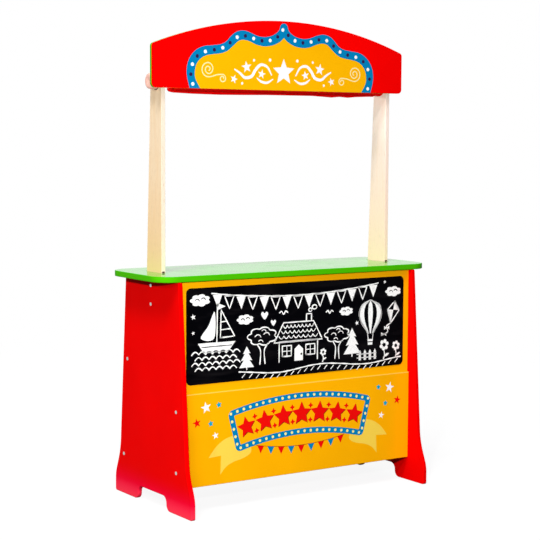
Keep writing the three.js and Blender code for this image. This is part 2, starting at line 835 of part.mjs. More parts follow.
// Least gap between one turn's inner face and the next turn's outer face, station by station
function leastWindingGap(inwardFace, outwardFace) {
  let least = Infinity;
  inwardFace.forEach((point, step) => {
    const around = step + segmentsPerTurnCount;
    for (let next = around - 1; next <= around && next + 1 < outwardFace.length; next += 1) {
      const chord = new THREE.Line3(outwardFace[next], outwardFace[next + 1]);
      const nearest = chord.closestPointToPoint(point, true, new THREE.Vector3());
      least = Math.min(least, nearest.distanceTo(point));
    }
  });
  return least;
}

// Rolled curtain: a spiral strip of cloth, carried along the dowel in stations
function addWinding(parent) {
  const steps = windingTurns * segmentsPerTurnCount;
  const positions = [];
  const faces = [];
  let leastGap = Infinity;
  for (let station = 0; station <= windingStationCount; station += 1) {
    const along = station / windingStationCount;
    const x = curtainShift + (along - 1 / 2) * curtainWidth;
    const outwardFace = [];
    const inwardFace = [];
    for (let step = 0; step <= steps; step += 1) {
      const turn = step / segmentsPerTurnCount;
      const angle = 2 * Math.PI * turn;
      const outer = windingOuterRadius(turn, along);
      const inner = outer - clothThickness;
      outwardFace.push(new THREE.Vector3(x, outer * Math.cos(angle), outer * Math.sin(angle)));
      inwardFace.push(new THREE.Vector3(x, inner * Math.cos(angle), inner * Math.sin(angle)));
      positions.push(...outwardFace[step].toArray(), ...inwardFace[step].toArray());
    }
    leastGap = Math.min(leastGap, leastWindingGap(inwardFace, outwardFace));
  }
  console.log(`least gap between turns of the rolled curtain: ${leastGap.toFixed(2)} mm`);
  const ring = 2 * (steps + 1);
  const outerAt = (station, step) => station * ring + 2 * step;
  const innerAt = (station, step) => outerAt(station, step) + 1;
  const quad = (a, b, c, d) => faces.push(a, b, c, a, c, d);
  for (let here = 0; here < windingStationCount; here += 1) {
    const next = here + 1;
    for (let step = 0; step < steps; step += 1) {
      const ahead = step + 1;
      quad(outerAt(here, step), outerAt(here, ahead), outerAt(next, ahead), outerAt(next, step));
      quad(innerAt(here, step), innerAt(next, step), innerAt(next, ahead), innerAt(here, ahead));
    }
    quad(outerAt(here, 0), outerAt(next, 0), innerAt(next, 0), innerAt(here, 0));
    quad(outerAt(here, steps), innerAt(here, steps), innerAt(next, steps), outerAt(next, steps));
  }
  const end = windingStationCount;
  for (let step = 0; step < steps; step += 1) {
    const ahead = step + 1;
    quad(outerAt(0, step), innerAt(0, step), innerAt(0, ahead), outerAt(0, ahead));
    quad(outerAt(end, step), outerAt(end, ahead), innerAt(end, ahead), innerAt(end, step));
  }
  const geometry = new THREE.BufferGeometry();
  geometry.setAttribute('position', new THREE.BufferAttribute(new Float32Array(positions), 3));
  geometry.setIndex(faces);
  geometry.computeVertexNormals();
  addPiece(parent, 'rolled_curtain', geometry, 'redCloth');
}

// Free end of the cloth, coming off the back of the roll, and the hem sewn round its rod
function addFreeEnd(parent) {
  const dropMiddle = windingRadius - dropThickness / 2;
  const outline = roundedShape(rectangleCorners(curtainWidth, dropLength, dropThickness / 2));
  const drop = turned(boardSolid(outline, dropThickness, dropThickness / 4), right, up);
  const dropPlace = new THREE.Vector3(curtainShift, dropMiddle, -seatGap - dropLength / 2);
  addAt(parent, 'curtain_drop', drop, dropPlace, 'redCloth');

  const hemMiddle = -2 * seatGap - dropLength - hemHeight / 2;
  const hemOutline = roundedShape(rectangleCorners(hemThickness, hemHeight, hemCornerRadius));
  const pocket = new THREE.Path();
  pocket.absarc(0, 0, hemRodDiameter / 2 + seatGap, 0, 2 * Math.PI, false);
  hemOutline.holes.push(pocket);
  const hem = turned(boardSolid(hemOutline, curtainWidth, 0), back, up);
  const hemPlace = new THREE.Vector3(curtainShift, dropMiddle, hemMiddle);
  addAt(parent, 'curtain_hem', hem, hemPlace, 'redCloth');

  const rodLength = curtainWidth - 2 * hemRodInset;
  const hemRod = rod(new THREE.Vector3(-rodLength / 2, 0, 0), right, hemRodDiameter / 2, rodLength);
  addAt(parent, 'hem_rod', hemRod, hemPlace, 'paleWood');
}

const cabinet = new THREE.Group();
stand.add(cabinet);
sides.forEach((side) => {
  addSidePanel(cabinet, side);
  addSideFasteners(cabinet, side);
  addDowelPins(cabinet, side);
});
addCounter(cabinet);
addUpperPanel(cabinet);
addChalkboard(cabinet);
addLowerBoard(cabinet);
shelves.forEach((shelf) => addShelf(cabinet, shelf));

const frontage = new THREE.Group();
stand.add(frontage);
sides.forEach((side) => {
  addPost(frontage, side);
  addAngles(frontage, side);
});
addSign(frontage);

const roller = new THREE.Group();
roller.position.set(0, rollerSetY, rollerHeight);
stand.add(roller);
addDowel(roller);
addKnob(roller);
addEndCap(roller);
addWinding(roller);
addFreeEnd(roller);

export default stand;
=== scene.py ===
"""The look of a toy puppet theatre stand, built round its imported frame.

Metres, +Z up, the front towards -Y, the origin on the floor under the middle of the stand.
"""

import math

import bpy
import numpy as np
from mathutils import Matrix, Vector
from mathutils.geometry import tessellate_polygon


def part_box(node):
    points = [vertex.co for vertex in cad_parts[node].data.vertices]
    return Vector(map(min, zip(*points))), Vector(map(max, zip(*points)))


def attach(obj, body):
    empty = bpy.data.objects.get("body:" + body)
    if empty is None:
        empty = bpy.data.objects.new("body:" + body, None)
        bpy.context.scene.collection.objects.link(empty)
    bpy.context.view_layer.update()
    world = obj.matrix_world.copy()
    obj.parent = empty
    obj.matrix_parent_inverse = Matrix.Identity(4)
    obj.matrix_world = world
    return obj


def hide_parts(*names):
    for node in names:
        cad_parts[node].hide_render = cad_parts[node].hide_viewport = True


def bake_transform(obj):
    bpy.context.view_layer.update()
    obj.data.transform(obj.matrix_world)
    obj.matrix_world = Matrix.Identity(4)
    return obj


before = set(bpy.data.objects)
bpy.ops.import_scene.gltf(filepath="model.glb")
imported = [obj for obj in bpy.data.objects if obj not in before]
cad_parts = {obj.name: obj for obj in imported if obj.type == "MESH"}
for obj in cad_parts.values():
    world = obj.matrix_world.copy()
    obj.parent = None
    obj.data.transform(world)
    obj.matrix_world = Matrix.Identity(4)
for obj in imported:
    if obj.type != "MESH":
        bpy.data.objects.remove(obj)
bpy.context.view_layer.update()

MM = 0.001
RNG = np.random.default_rng(7)

# Directions of a board's outline (u, v); its face looks along u cross v
ACROSS = np.array((1.0, 0.0, 0.0))
BACKWARD = np.array((0.0, 1.0, 0.0))
UPWARD = np.array((0.0, 0.0, 1.0))
LYING = (ACROSS, BACKWARD)
FACING_FRONT = (ACROSS, UPWARD)
FACING_RIGHT = (BACKWARD, UPWARD)
MIRROR = np.array((-1, 1))

# Boards
ARRIS = 1.4 * MM
ARRIS_STEPS = 4
LONG_EDGE = 20 * MM
CORNER_STEPS = 12
SMALL_CORNER = 3 * MM
THIN_ARRIS = 0.7 * MM

# Side panels
KNEE_DEPTH = 305 * MM
KNEE_HEIGHT = 102 * MM
KNEE_RADIUS = 170 * MM
PANEL_TOP_DEPTH = 244 * MM
ANKLE_HEIGHT = 43 * MM
ANKLE_RADIUS = 70 * MM
FOOT_CORNER_RADIUS = 5 * MM
ARCH_DEPTH = 130 * MM
ARCH_HEIGHT = 32 * MM
ARCH_CORNER_RADIUS = 15.5 * MM
TOE_RADIUS = 15.5 * MM

# Counter, front boards and shelves
COUNTER_CORNER_RADIUS = 45 * MM
SLOT_CLEARANCE = 0.3 * MM
REBATE_HEIGHT = 10 * MM
LIP_THICKNESS = 5.3 * MM
CHALK_CORNER_RADIUS = 12 * MM
CHALK_ARRIS = 0.2 * MM
SHELF_CORNER_RADIUS = 4 * MM
END_EASE = 0.5 * MM

# Posts
POST_WIDTH_AT_COUNTER = 68 * MM
POST_TOP_WIDTH = 46.4 * MM
POST_TOP_RADIUS = 14 * MM
POST_TAIL_RADIUS = 6 * MM

# Sign board
SIGN_CROWN_RISE = 63.5 * MM
SIGN_BOTTOM_RADIUS = 10 * MM
SIGN_TOP_RADIUS = 8 * MM
RED_COAT = 1.2 * MM
SIGN_ARRIS = 0.4 * MM
FACE_INSET = 0.02 * MM

# Curtain roller
BEARING_RADIUS = 7.9 * MM
KNOB_EDGE_RADIUS = 4.5 * MM
KNOB_HUB_RADIUS = 11 * MM
KNOB_DISH = 1.6 * MM
CAP_EDGE_RADIUS = 3 * MM
CLOTH_THICKNESS = 2.4 * MM
ROLL_CREASE = 0.9 * MM
FOLD_DEPTH = 0.3 * MM
HEM_THICKNESS = 6.4 * MM

# Stations along the hem in mm: across the stand, and how far its lower edge stands above the hem's foot
HEM_EDGE = (
    (-276, 6.0), (-272, 2.9), (-262, 1.0), (-213, -0.6), (-138, -1.6), (-73, -0.8), (-10, 0.4), (60, 0.7),
    (120, 0.9), (150, -0.4), (179, -1.9), (203, 0.2), (227, -1.5), (251, 0.5), (290, 2.2), (306, 2.4))


def srgb(red, green, blue):
    """A screen colour of 0 to 255 as a linear colour with full alpha."""
    share = np.array((red, green, blue)) / 255
    linear = np.where(share <= 0.04045, share / 12.92, ((share + 0.055) / 1.055) ** 2.4)
    return (*linear.tolist(), 1.0)


# Outlines: arrays of points (u, v), anticlockwise

def unit(vectors):
    """The vectors, each divided by its length."""
    return vectors / np.linalg.norm(vectors, axis=-1, keepdims=True)


def circle(angles):
    """Places on the circle of radius 1."""
    return np.stack([np.cos(angles), np.sin(angles)], axis=-1)


def arc(centre, radius, start, end, steps):
    """Points on a circle from one angle to another, both ends included."""
    return np.asarray(centre) + radius * circle(np.linspace(start, end, steps + 1))


def corner_arcs(here, before, after, radius, steps):
    """For each corner an arc that touches both of its edges, and how far from the corner it does so."""
    before, after = unit(before - here), unit(after - here)
    half = np.arccos(np.clip((before * after).sum(axis=1), -1, 1)) / 2
    setback = (radius / np.tan(half))[:, None]
    centre = here + unit(before + after) * (radius / np.sin(half))[:, None]
    first, last = here + before * setback - centre, here + after * setback - centre
    start = np.arctan2(first[:, 1], first[:, 0])
    sweep = (np.arctan2(last[:, 1], last[:, 0]) - start + np.pi) % (2 * np.pi) - np.pi
    angles = start[:, None] + sweep[:, None] * np.linspace(0, 1, steps + 1)
    return centre[:, None, :] + radius[:, None, None] * circle(angles), setback


def rounded(corners, steps=CORNER_STEPS):
    """A closed outline in which an arc touches both edges of every corner (u, v, radius)."""
    corners = np.asarray(corners, float)
    here = corners[:, :2]
    arcs, _ = corner_arcs(here, np.roll(here, 1, axis=0), np.roll(here, -1, axis=0), corners[:, 2], steps)
    return arcs.reshape(-1, 2)


def rectangle(low, high, radius):
    """A rounded rectangle between two opposite corners."""
    (left, bottom), (right, top) = low, high
    return rounded([
        (left, bottom, radius), (right, bottom, radius), (right, top, radius), (left, top, radius)])


def outward(outline):
    """The outward direction at each point of an anticlockwise outline, square to its neighbours' chord."""
    chord = np.roll(outline, -1, axis=0) - np.roll(outline, 1, axis=0)
    return unit(np.column_stack([chord[:, 1], -chord[:, 0]]))


def inset(outline, distance):
    """An outline moved inwards by a distance."""
    return outline - outward(outline) * distance


def curve(points, steps=8, closed=False):
    """A smooth line through the points: each span is a cubic whose end slopes are half the chord
    between the neighbours."""
    points = np.asarray(points, float)
    if closed:
        ends = np.vstack([points[-1], points, points[:2]])
    else:
        ends = np.vstack([2 * points[0] - points[1], points, 2 * points[-1] - points[-2]])
    a, b, c, d = ends[:-3], ends[1:-2], ends[2:-1], ends[3:]
    t = np.linspace(0, 1, steps, endpoint=False)[:, None, None]
    spans = (2 * b + (c - a) * t + (2 * a - 5 * b + 4 * c - d) * t**2 + (3 * b - a - 3 * c + d) * t**3) / 2
    line = spans.transpose(1, 0, 2).reshape(-1, 2)
    return line if closed else np.vstack([line, points[-1]])


def lengths(line):
    """The distance along a line at each of its points."""
    return np.concatenate([[0], np.cumsum(np.linalg.norm(np.diff(line, axis=0), axis=1))])


def at_lengths(line, wanted):
    """The places at the wanted distances along a line."""
    reach = lengths(line)
    return np.column_stack([np.interp(wanted, reach, line[:, k]) for k in range(2)])


# Meshes

def grid_faces(rows, columns, closed=False, start=0):
    """Quads over a grid of points, stored row by row. A closed grid joins its last column to its first."""
    index = np.arange(rows * columns).reshape(rows, columns) + start
    if closed:
        index = np.hstack([index, index[:, :1]])
    corners = (index[:-1, :-1], index[:-1, 1:], index[1:, 1:], index[1:, :-1])
    return np.stack(corners, axis=-1).reshape(-1, 4)


def filled(rings):
    """Triangles that fill the first ring apart from the others, facing up from the (u, v) plane."""
    flat = np.vstack(rings)
    triangles = np.array(tessellate_polygon([[Vector((*p, 0)) for p in ring] for ring in rings]))
    a, b, c = flat[triangles].transpose(1, 0, 2)
    area = (b[:, 0] - a[:, 0]) * (c[:, 1] - a[:, 1]) - (b[:, 1] - a[:, 1]) * (c[:, 0] - a[:, 0])
    triangles = triangles[np.abs(area) > 0]
    area = area[np.abs(area) > 0]
    return np.where((area > 0)[:, None], triangles, triangles[:, ::-1])


def add_object(name, data):
    """A new object in the scene."""
    made = bpy.data.objects.new(name, data)
    bpy.context.scene.collection.objects.link(made)
    return made


def new_piece(name, points, smooth_faces, material, slot, body="stand", flat_faces=(), replaces=(), uv=None,
              edge_finish=None):
    """A mesh from points and arrays of faces, the first ones shaded smooth and the others flat, which hides
    the frame's nodes that it stands for; the slot is not used. An edge finish covers all but the last two
    arrays."""
    faces = [face for group in (*smooth_faces, *flat_faces) for face in group.tolist()]
    number = np.arange(len(faces))
    mesh = bpy.data.meshes.new(name)
    mesh.from_pydata(np.asarray(points).reshape(-1, 3), [], faces)
    mesh.polygons.foreach_set("use_smooth", number < sum(map(len, smooth_faces)))
    mesh.materials.append(material)
    if edge_finish is not None:
        mesh.materials.append(edge_finish)
        is_edge = number < len(faces) - sum(map(len, flat_faces[-2:]))
        mesh.polygons.foreach_set("material_index", is_edge.astype(np.int32))
    if uv is not None:
        corner = np.zeros(len(mesh.loops), np.int32)
        mesh.loops.foreach_get("vertex_index", corner)
        mesh.uv_layers.new(name="cloth").data.foreach_set("uv", uv[corner].astype(np.float32).ravel())
    mesh.update()
    piece = add_object(name, mesh)
    if replaces:
        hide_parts(*replaces)
    if body:
        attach(piece, body)
    return piece


def lay(flat, axes, origin, height=0.0):
    """Puts points (u, v) at a height over the plane through origin that the two axes span."""
    u, v = axes
    level = np.asarray(height)[..., None] * np.cross(u, v)
    return np.asarray(origin) + flat[..., :1] * u + flat[..., 1:2] * v + level


def board(name, outline, thickness, axes, origin, material, slot, holes=(), arris=ARRIS, **more):
    """A board: every ring of its outline is carried through the thickness by a quarter-round arris,
    a straight edge and another quarter round. Both faces and the long straight edges are flat."""
    turn = np.linspace(0, np.pi / 2, ARRIS_STEPS + 1)
    inward = arris * np.concatenate([1 - np.sin(turn), 1 - np.cos(turn)])
    level = np.concatenate([arris * (1 - np.cos(turn)), thickness - arris * (1 - np.sin(turn))])
    height = (level - thickness / 2)[:, None]
    rings = [outline, *[hole[::-1] for hole in holes]]
    points, sides, straight, low_rings, high_rings = [], [], [], [], []
    start = 0
    for ring in rings:
        rows = ring - outward(ring) * inward[:, None, None]
        points.append(lay(rows, axes, origin, height).reshape(-1, 3))
        quads = grid_faces(len(inward), len(ring), True, start)
        is_long = np.linalg.norm(np.roll(ring, -1, axis=0) - ring, axis=1) > LONG_EDGE
        is_flat = (np.arange(len(quads)) // len(ring) == ARRIS_STEPS) & np.tile(is_long, len(inward) - 1)
        sides.append(quads[~is_flat])
        straight.append(quads[is_flat])
        low_rings.append(np.arange(len(ring)) + start)
        high_rings.append(low_rings[-1] + (len(inward) - 1) * len(ring))
        start += len(inward) * len(ring)
    cap = filled([inset(ring, arris) for ring in rings])
    low, high = np.concatenate(low_rings)[cap][:, ::-1], np.concatenate(high_rings)[cap]
    new_piece(name, np.vstack(points), sides, material, slot, flat_faces=[*straight, low, high], **more)


def board_of(node, name, outline, axes, material, slot, **more):
    """A board in a frame node's place, as thick as the node's box."""
    low, high = (np.array(corner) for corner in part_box(node))
    facing = np.abs(np.cross(*axes))
    board(name, outline, facing @ (high - low), axes, facing * (low + high) / 2, material, slot,
          replaces=[node], **more)


def lathe(name, profile, axis_start, direction, material, slot, steps=64, **more):
    """A turned piece: a profile (radius, height), from the axis to the axis, is carried round."""
    out = np.array(direction, float)
    first = np.array(Vector(direction).orthogonal().normalized())
    turn = circle(np.linspace(0, 2 * np.pi, steps, endpoint=False)) @ np.stack([first, np.cross(out, first)])
    ring = profile[1:-1, None]
    points = (axis_start + ring[..., 1:] * out + ring[..., :1] * turn).reshape(-1, 3)
    poles = axis_start + profile[[0, -1], 1:] * out
    around = np.arange(steps)
    after = (around + 1) % steps
    last = len(points) - steps
    foot = np.column_stack([np.full(steps, len(points)), after, around])
    head = np.column_stack([np.full(steps, len(points) + 1), last + around, last + after])
    faces = [grid_faces(len(ring), steps, True), foot, head]
    new_piece(name, np.vstack([points, poles]), faces, material, slot, **more)


# Materials

class Socket:
    """A shader value that takes part in sums: each operator adds the Math node for it."""

    def __init__(self, paint, socket):
        self.paint = paint
        self.socket = socket

    def _math(self, operation, *values):
        return self.paint.node("ShaderNodeMath", {"operation": operation}, dict(enumerate(values)))["Value"]

    def __add__(self, other):
        return self._math("ADD", self, other)

    def __sub__(self, other):
        return self._math("SUBTRACT", self, other)

    def __rsub__(self, other):
        return self._math("SUBTRACT", other, self)

    def __mul__(self, other):
        return self._math("MULTIPLY", self, other)

    __radd__ = __add__
    __rmul__ = __mul__

    def sine(self):
        return self._math("SINE", self)

    def power(self, exponent):
        return self._math("POWER", self, exponent)

    def at_most(self, limit):
        return self._math("MINIMUM", self, limit)


class Nodes:
    """A node tree and the single way of adding a node to it."""

    def __init__(self, tree):
        self.tree = tree

    def node(self, kind, settings=None, values=None):
        """Adds a node; its settings come first, then the values or links of its sockets."""
        made = self.tree.nodes.new(kind)
        for key, value in (settings or {}).items():
            setattr(made, key, value)
        for key, value in (values or {}).items():
            if isinstance(value, Socket):
                self.tree.links.new(value.socket, made.inputs[key])
            else:
                made.inputs[key].default_value = value
        return {socket.name: Socket(self, socket) for socket in made.outputs if socket.enabled}


class Paint(Nodes):
    """One procedural material."""

    def __init__(self, name, **surface):
        self.material = bpy.data.materials.new(name)
        self.material.use_nodes = True
        super().__init__(self.material.node_tree)
        self.shader = self.tree.nodes["Principled BSDF"]
        for name, value in surface.items():
            self.input(name).default_value = value

    def input(self, name):
        """A socket of the surface shader, by its name in small letters."""
        return self.shader.inputs[name.replace("_", " ").title().replace("Ior", "IOR")]

    def place(self, scale=(1, 1, 1), turn=(0, 0, 0), source="Object"):
        """Coordinates in metres, stretched and turned by a Mapping node."""
        start = self.node("ShaderNodeTexCoord")[source]
        values = {"Vector": start, "Scale": scale, "Rotation": turn}
        return self.node("ShaderNodeMapping", None, values)["Vector"]

    def along(self, axis):
        """The place along one axis; along Z it is the height over the floor."""
        return self.node("ShaderNodeSeparateXYZ", None, {"Vector": self.place()})[axis]

    def noise(self, place, scale, detail=2.0, roughness=0.5, distortion=0.0):
        """A cloudy value from about 0.3 to 0.7."""
        values = {"Vector": place, "Scale": scale, "Detail": detail, "Roughness": roughness,
                  "Distortion": distortion}
        return self.node("ShaderNodeTexNoise", None, values)["Fac"]

    def between(self, value, low, high):
        """The value's place between two limits, held within 0 and 1."""
        values = {"Value": value, "From Min": low, "From Max": high}
        return self.node("ShaderNodeMapRange", {"clamp": True}, values)["Result"]

    def clouds(self, place, scale, detail=3.0):
        """A cloudy value that fills 0 to 1."""
        return self.between(self.noise(place, scale, detail), 0.3, 0.7)

    def mix(self, share, first, second):
        """A colour between two colours."""
        return self.node("ShaderNodeMix", {"data_type": "RGBA"}, {0: share, 6: first, 7: second})["Result"]

    def bump(self, height, depth):
        """A surface direction from a height of 0 to 1 that is depth metres tall."""
        return self.node("ShaderNodeBump", None, {"Height": height, "Distance": depth})["Normal"]

    def feed(self, **links):
        """Links values to the surface shader's own sockets and returns the material."""
        for socket, value in links.items():
            self.tree.links.new(value.socket, self.input(socket))
        return self.material


def darker(colour, share):
    """A share of each of a colour's three parts."""
    return (*[channel * share for channel in colour[:3]], 1.0)


# The two tints of a painted reflection of the floor on a foot: where each starts and is full, over the floor,
# and how slowly it comes
FLOOR_REFLECTION_TINTS = ((80 * MM, 4 * MM, 2.2), (34 * MM, 2 * MM, 1))
# The heights at which a post's wood starts to deepen towards the counter and is deepest: painted bounce light
# from the counter
COUNTER_BOUNCE_HEIGHTS = (840 * MM, 500 * MM)
# How deep the lit front of a post, painted paler, reaches; where the knob's painted shadow ring fades; and a
# thread's width
LIT_FRONT_DEPTHS = (0.6 * MM, 0.1 * MM)
KNOB_SHADOW_INNER = (-1.0 * MM, 0)
KNOB_SHADOW_OUTER = (2.6 * MM, 1.6 * MM)
THREAD_WIDTH = 0.9 * MM


def sprayed_paint(name, colour, roughness, shine, peel_depth=0.05 * MM, foot=()):
    """Sprayed paint on fibreboard: orange peel, faint sanding lines and a slow drift of colour. Close to the
    floor it turns to the foot's two colours, one after the other: a painted reflection of the floor."""
    paint = Paint(name, specular_ior_level=shine)
    place = paint.place()
    grit = paint.noise(place, 1300, 2)
    sanding = paint.noise(paint.place(scale=(3, 3, 160)), 4, 3, 0.6)
    tint = paint.mix(paint.clouds(place, 7) * 0.6 + (grit - 0.5) * 0.3, colour, darker(colour, 0.88))
    # the foot's colours are a painted reflection of the white floor, pinker and paler near the floor
    for (top, bottom, slowness), floor_reflection_colour in zip(FLOOR_REFLECTION_TINTS, foot):
        tint = paint.mix(paint.between(paint.along("Z"), top, bottom).power(slowness), tint, floor_reflection_colour)
    smudge = paint.between(paint.noise(place, 16, 4, 0.65), 0.42, 0.66)
    gloss = roughness + smudge * 0.06 + (sanding - 0.5) * 0.08
    normal = paint.bump(paint.noise(place, 260, 1.5) + sanding * 0.5, peel_depth)
    return paint.feed(base_color=tint, roughness=gloss, normal=normal)


def printed_ink(name, colour):
    """Screen-printed ink: a fine dither of a deeper tone and the same peel as the paint below."""
    paint = Paint(name, specular_ior_level=0.02)
    place = paint.place()
    dither = paint.between(paint.noise(place, 2600, 1), 0.38, 0.62)
    cloud = paint.clouds(place, 12)
    tint = paint.mix(dither * 0.35 + cloud * 0.4, colour, darker(colour, 0.9))
    normal = paint.bump(paint.noise(place, 300, 1.5), 0.03 * MM)
    return paint.feed(base_color=tint, roughness=0.34 + cloud * 0.05, normal=normal)


def planed_wood(name, pale, dark, along, roughness=0.55, foot=None, front=None, knob=None):
    """Planed softwood or birch: growth lines run along one axis, with fibres and short pores between. The
    wood deepens to the foot's colour towards the counter as painted bounce light from it, is paler on its
    front face (its place and colour) as painted light, and the knob (its box's two corners) casts a painted
    dark shadow ring on it."""
    paint = Paint(name, specular_ior_level=0.25)

    def streaks(across, lengthways, *texture):
        scale = [lengthways if axis == along else across for axis in "XYZ"]
        return paint.noise(paint.place(scale=scale), 1.0, *texture)

    growth = ((streaks(26, 1.3, 3, 0.55, 0.6) * 95).sine() * 0.5 + 0.5).power(1.6)
    fibre = streaks(620, 14, 3, 0.6)
    pore = paint.between(streaks(900, 60, 1), 0.64, 0.72)
    shade = growth * 0.3 + paint.between(fibre, 0.3, 0.7) * 0.25 + paint.clouds(paint.place(), 9, 2) * 0.3
    wood = paint.mix(shade.at_most(1.0), pale, dark)
    # painted bounce light: the wood turns to the foot's warmer colour towards the counter
    if foot:
        wood = paint.mix(paint.between(paint.along("Z"), *COUNTER_BOUNCE_HEIGHTS), wood, foot)
    # painted light: the front face is painted paler, as if lit more than the sides
    if front:
        plane, lit_front_colour = front
        depth = paint.along("Y") - plane
        wood = paint.mix(paint.between(depth, *LIT_FRONT_DEPTHS) * 0.85, wood, lit_front_colour)
    # painted shadow: a dark ring on the post round the knob, where the knob shades it
    if knob:
        low, high = knob
        back, up = paint.along("Y") - (low.y + high.y) / 2, paint.along("Z") - (low.z + high.z) / 2
        past_edge = (back * back + up * up).power(0.5) - (high.z - low.z) / 2
        knob_shadow = paint.between(past_edge, *KNOB_SHADOW_OUTER) * paint.between(past_edge, *KNOB_SHADOW_INNER)
        wood = paint.mix(knob_shadow * 0.95, wood, srgb(60, 38, 20))
    tint = paint.mix(pore * 0.45, wood, darker(dark, 0.6))
    normal = paint.bump(fibre * 0.6 + growth * 0.4 - pore, 0.06 * MM)
    return paint.feed(base_color=tint, roughness=roughness + fibre * 0.15, normal=normal)


def woven_cloth(name, colour, source, upright):
    """Plain-weave cotton: two crossed sets of rounded threads, with slubs and a soft bloom. The threads
    cross along X and the upright axis of the source's coordinates."""
    paint = Paint(name, specular_ior_level=0.02, sheen_weight=0.03, sheen_roughness=0.4, sheen_tint=colour)
    threads = paint.place(scale=(2 * math.pi / THREAD_WIDTH,) * 3, source=source)
    parts = paint.node("ShaderNodeSeparateXYZ", None, {"Vector": threads})
    weave = (parts["X"].sine() * parts[upright].sine() + 1) * 0.5
    metres = paint.place(source=source)
    slub = paint.between(paint.noise(metres, 240, 2), 0.35, 0.7)
    tint = paint.mix(
        weave * 0.35 + slub * 0.2 + paint.clouds(metres, 14) * 0.35, colour, darker(colour, 0.75))
    normal = paint.bump(weave * 0.7 + slub * 0.3, 0.22 * MM)
    return paint.feed(base_color=tint, roughness=0.78 + slub * 0.15, normal=normal)


def bright_steel(name, colour, roughness):
    """Plated steel: fine turning marks, a cloudy plating and a few darker specks."""
    paint = Paint(name, metallic=1.0)
    place = paint.place()
    fleck = paint.between(paint.noise(place, 1500, 1), 0.6, 0.7)
    tint = paint.mix(paint.clouds(place, 180) * 0.4 + fleck * 0.4, colour, darker(colour, 0.6))
    scratch = paint.noise(paint.place(scale=(900, 900, 120)), 1, 2)
    gloss = roughness + scratch * 0.2 + fleck * 0.1
    return paint.feed(base_color=tint, roughness=gloss, normal=paint.bump(scratch, 0.02 * MM))


def slate_black(name):
    """Chalkboard paint: black with a stipple, and wiped chalk dust in soft slanting sweeps."""
    paint = Paint(name, specular_ior_level=0.015)
    sweep = paint.noise(paint.place(scale=(5, 5, 22), turn=(0, 0.5, 0)), 1.0, 4, 0.6, 0.8)
    dust = paint.between(sweep, 0.5, 0.85)
    stipple = paint.noise(paint.place(), 1100, 2)
    tint = paint.mix(dust * 0.4 + (stipple - 0.5) * 0.1, srgb(1, 1, 3), srgb(44, 41, 44))
    return paint.feed(base_color=tint, roughness=0.5 + dust * 0.2, normal=paint.bump(stipple, 0.05 * MM))


def chalk_line(name):
    """Chalk marks: white with a dry grain that lets the board show through in places."""
    paint = Paint(name, specular_ior_level=0.1)
    place = paint.place()
    grain = paint.noise(place, 1500, 3, 0.6)
    solid = paint.between(grain + (paint.noise(place, 110, 2) - 0.5) * 0.4, 0.28, 0.38)
    tint = paint.mix(solid, srgb(96, 94, 94), srgb(252, 252, 250))
    return paint.feed(base_color=tint, roughness=0.8 + grain * 0.15, normal=paint.bump(grain, 0.08 * MM))


RED = srgb(240, 2, 2)
CLOTH_RED = srgb(250, 6, 4)

red_paint = sprayed_paint("satin_red_paint", RED, 0.3, 0.005)
# the left panel's paint turns pinker and paler at its feet: a painted reflection of the floor
floor_reflection_red_paint = sprayed_paint(
    "satin_red_paint_pale_foot", RED, 0.3, 0.005, foot=(srgb(255, 8, 80), srgb(255, 56, 76)))
red_print = sprayed_paint("red_sign_print", srgb(252, 2, 2), 0.36, 0.008)
green_paint = sprayed_paint("gloss_green_paint", srgb(66, 190, 8), 0.1, 0.58, peel_depth=0.01 * MM)
green_edge = sprayed_paint("satin_green_edge_paint", srgb(70, 180, 4), 0.4, 0.012)
yellow_paint = sprayed_paint("satin_yellow_paint", srgb(255, 178, 3), 0.34, 0.02)
chalkboard_paint = slate_black("chalkboard_paint")
chalk_white = chalk_line("white_chalk")
# the left post's wood: its front face painted paler as lit, a painted shadow ring round the knob, and painted
# bounce light towards the counter
post_wood = planed_wood(
    "planed_pale_wood", srgb(244, 224, 195), srgb(239, 205, 160), "Z", foot=srgb(237, 197, 142),
    front=(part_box("post_left")[0].y, srgb(232, 218, 200)), knob=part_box("curtain_knob"))
# the right post's wood: a copy of the same wood painted lighter, standing in for more light on it; its foot
# tint is painted bounce light from the counter
right_post_wood_painted_lighter = planed_wood(
    "planed_wood_painted_lighter", srgb(255, 238, 230), srgb(253, 225, 204), "Z", foot=srgb(252, 214, 188))
dowel_wood = planed_wood("turned_pale_wood", srgb(250, 230, 198), srgb(232, 200, 158), "X")
# dark wood for the painted shadow of the slot's gap at each post's foot
slot_shadow_wood = planed_wood("dark_knot", srgb(70, 52, 34), srgb(48, 34, 22), "Z")
pink_wood = planed_wood("pinkish_turned_wood", srgb(248, 200, 184), srgb(230, 172, 154), "X", 0.45)
roll_cloth = woven_cloth("red_curtain_cloth", CLOTH_RED, "UV", "Y")
hanging_cloth = woven_cloth("red_curtain_cloth_hanging", CLOTH_RED, "Object", "Z")
screw_steel = bright_steel("bright_screw_steel", srgb(206, 214, 210), 0.3)
angle_steel = bright_steel("zinc_plated_steel", srgb(188, 192, 196), 0.34)
# a paler yellow for the painted highlight along the lower board's top arris
thin_paint = printed_ink("thin_yellow_paint", srgb(255, 208, 92))
INKS = {name: printed_ink(f"{name}_ink", srgb(*colour)) for name, colour in (
    ("blue", (3, 128, 184)), ("cyan", (0, 165, 200)), ("gold", (254, 183, 4)), ("white", (252, 250, 250)),
    ("cream", (255, 238, 170)), ("navy", (44, 30, 78)), ("pale_yellow", (255, 241, 150)),
    ("ribbon", (250, 213, 78)), ("red", (238, 14, 10)), ("dark_red", (142, 12, 14)))}


# Places that the frame gives

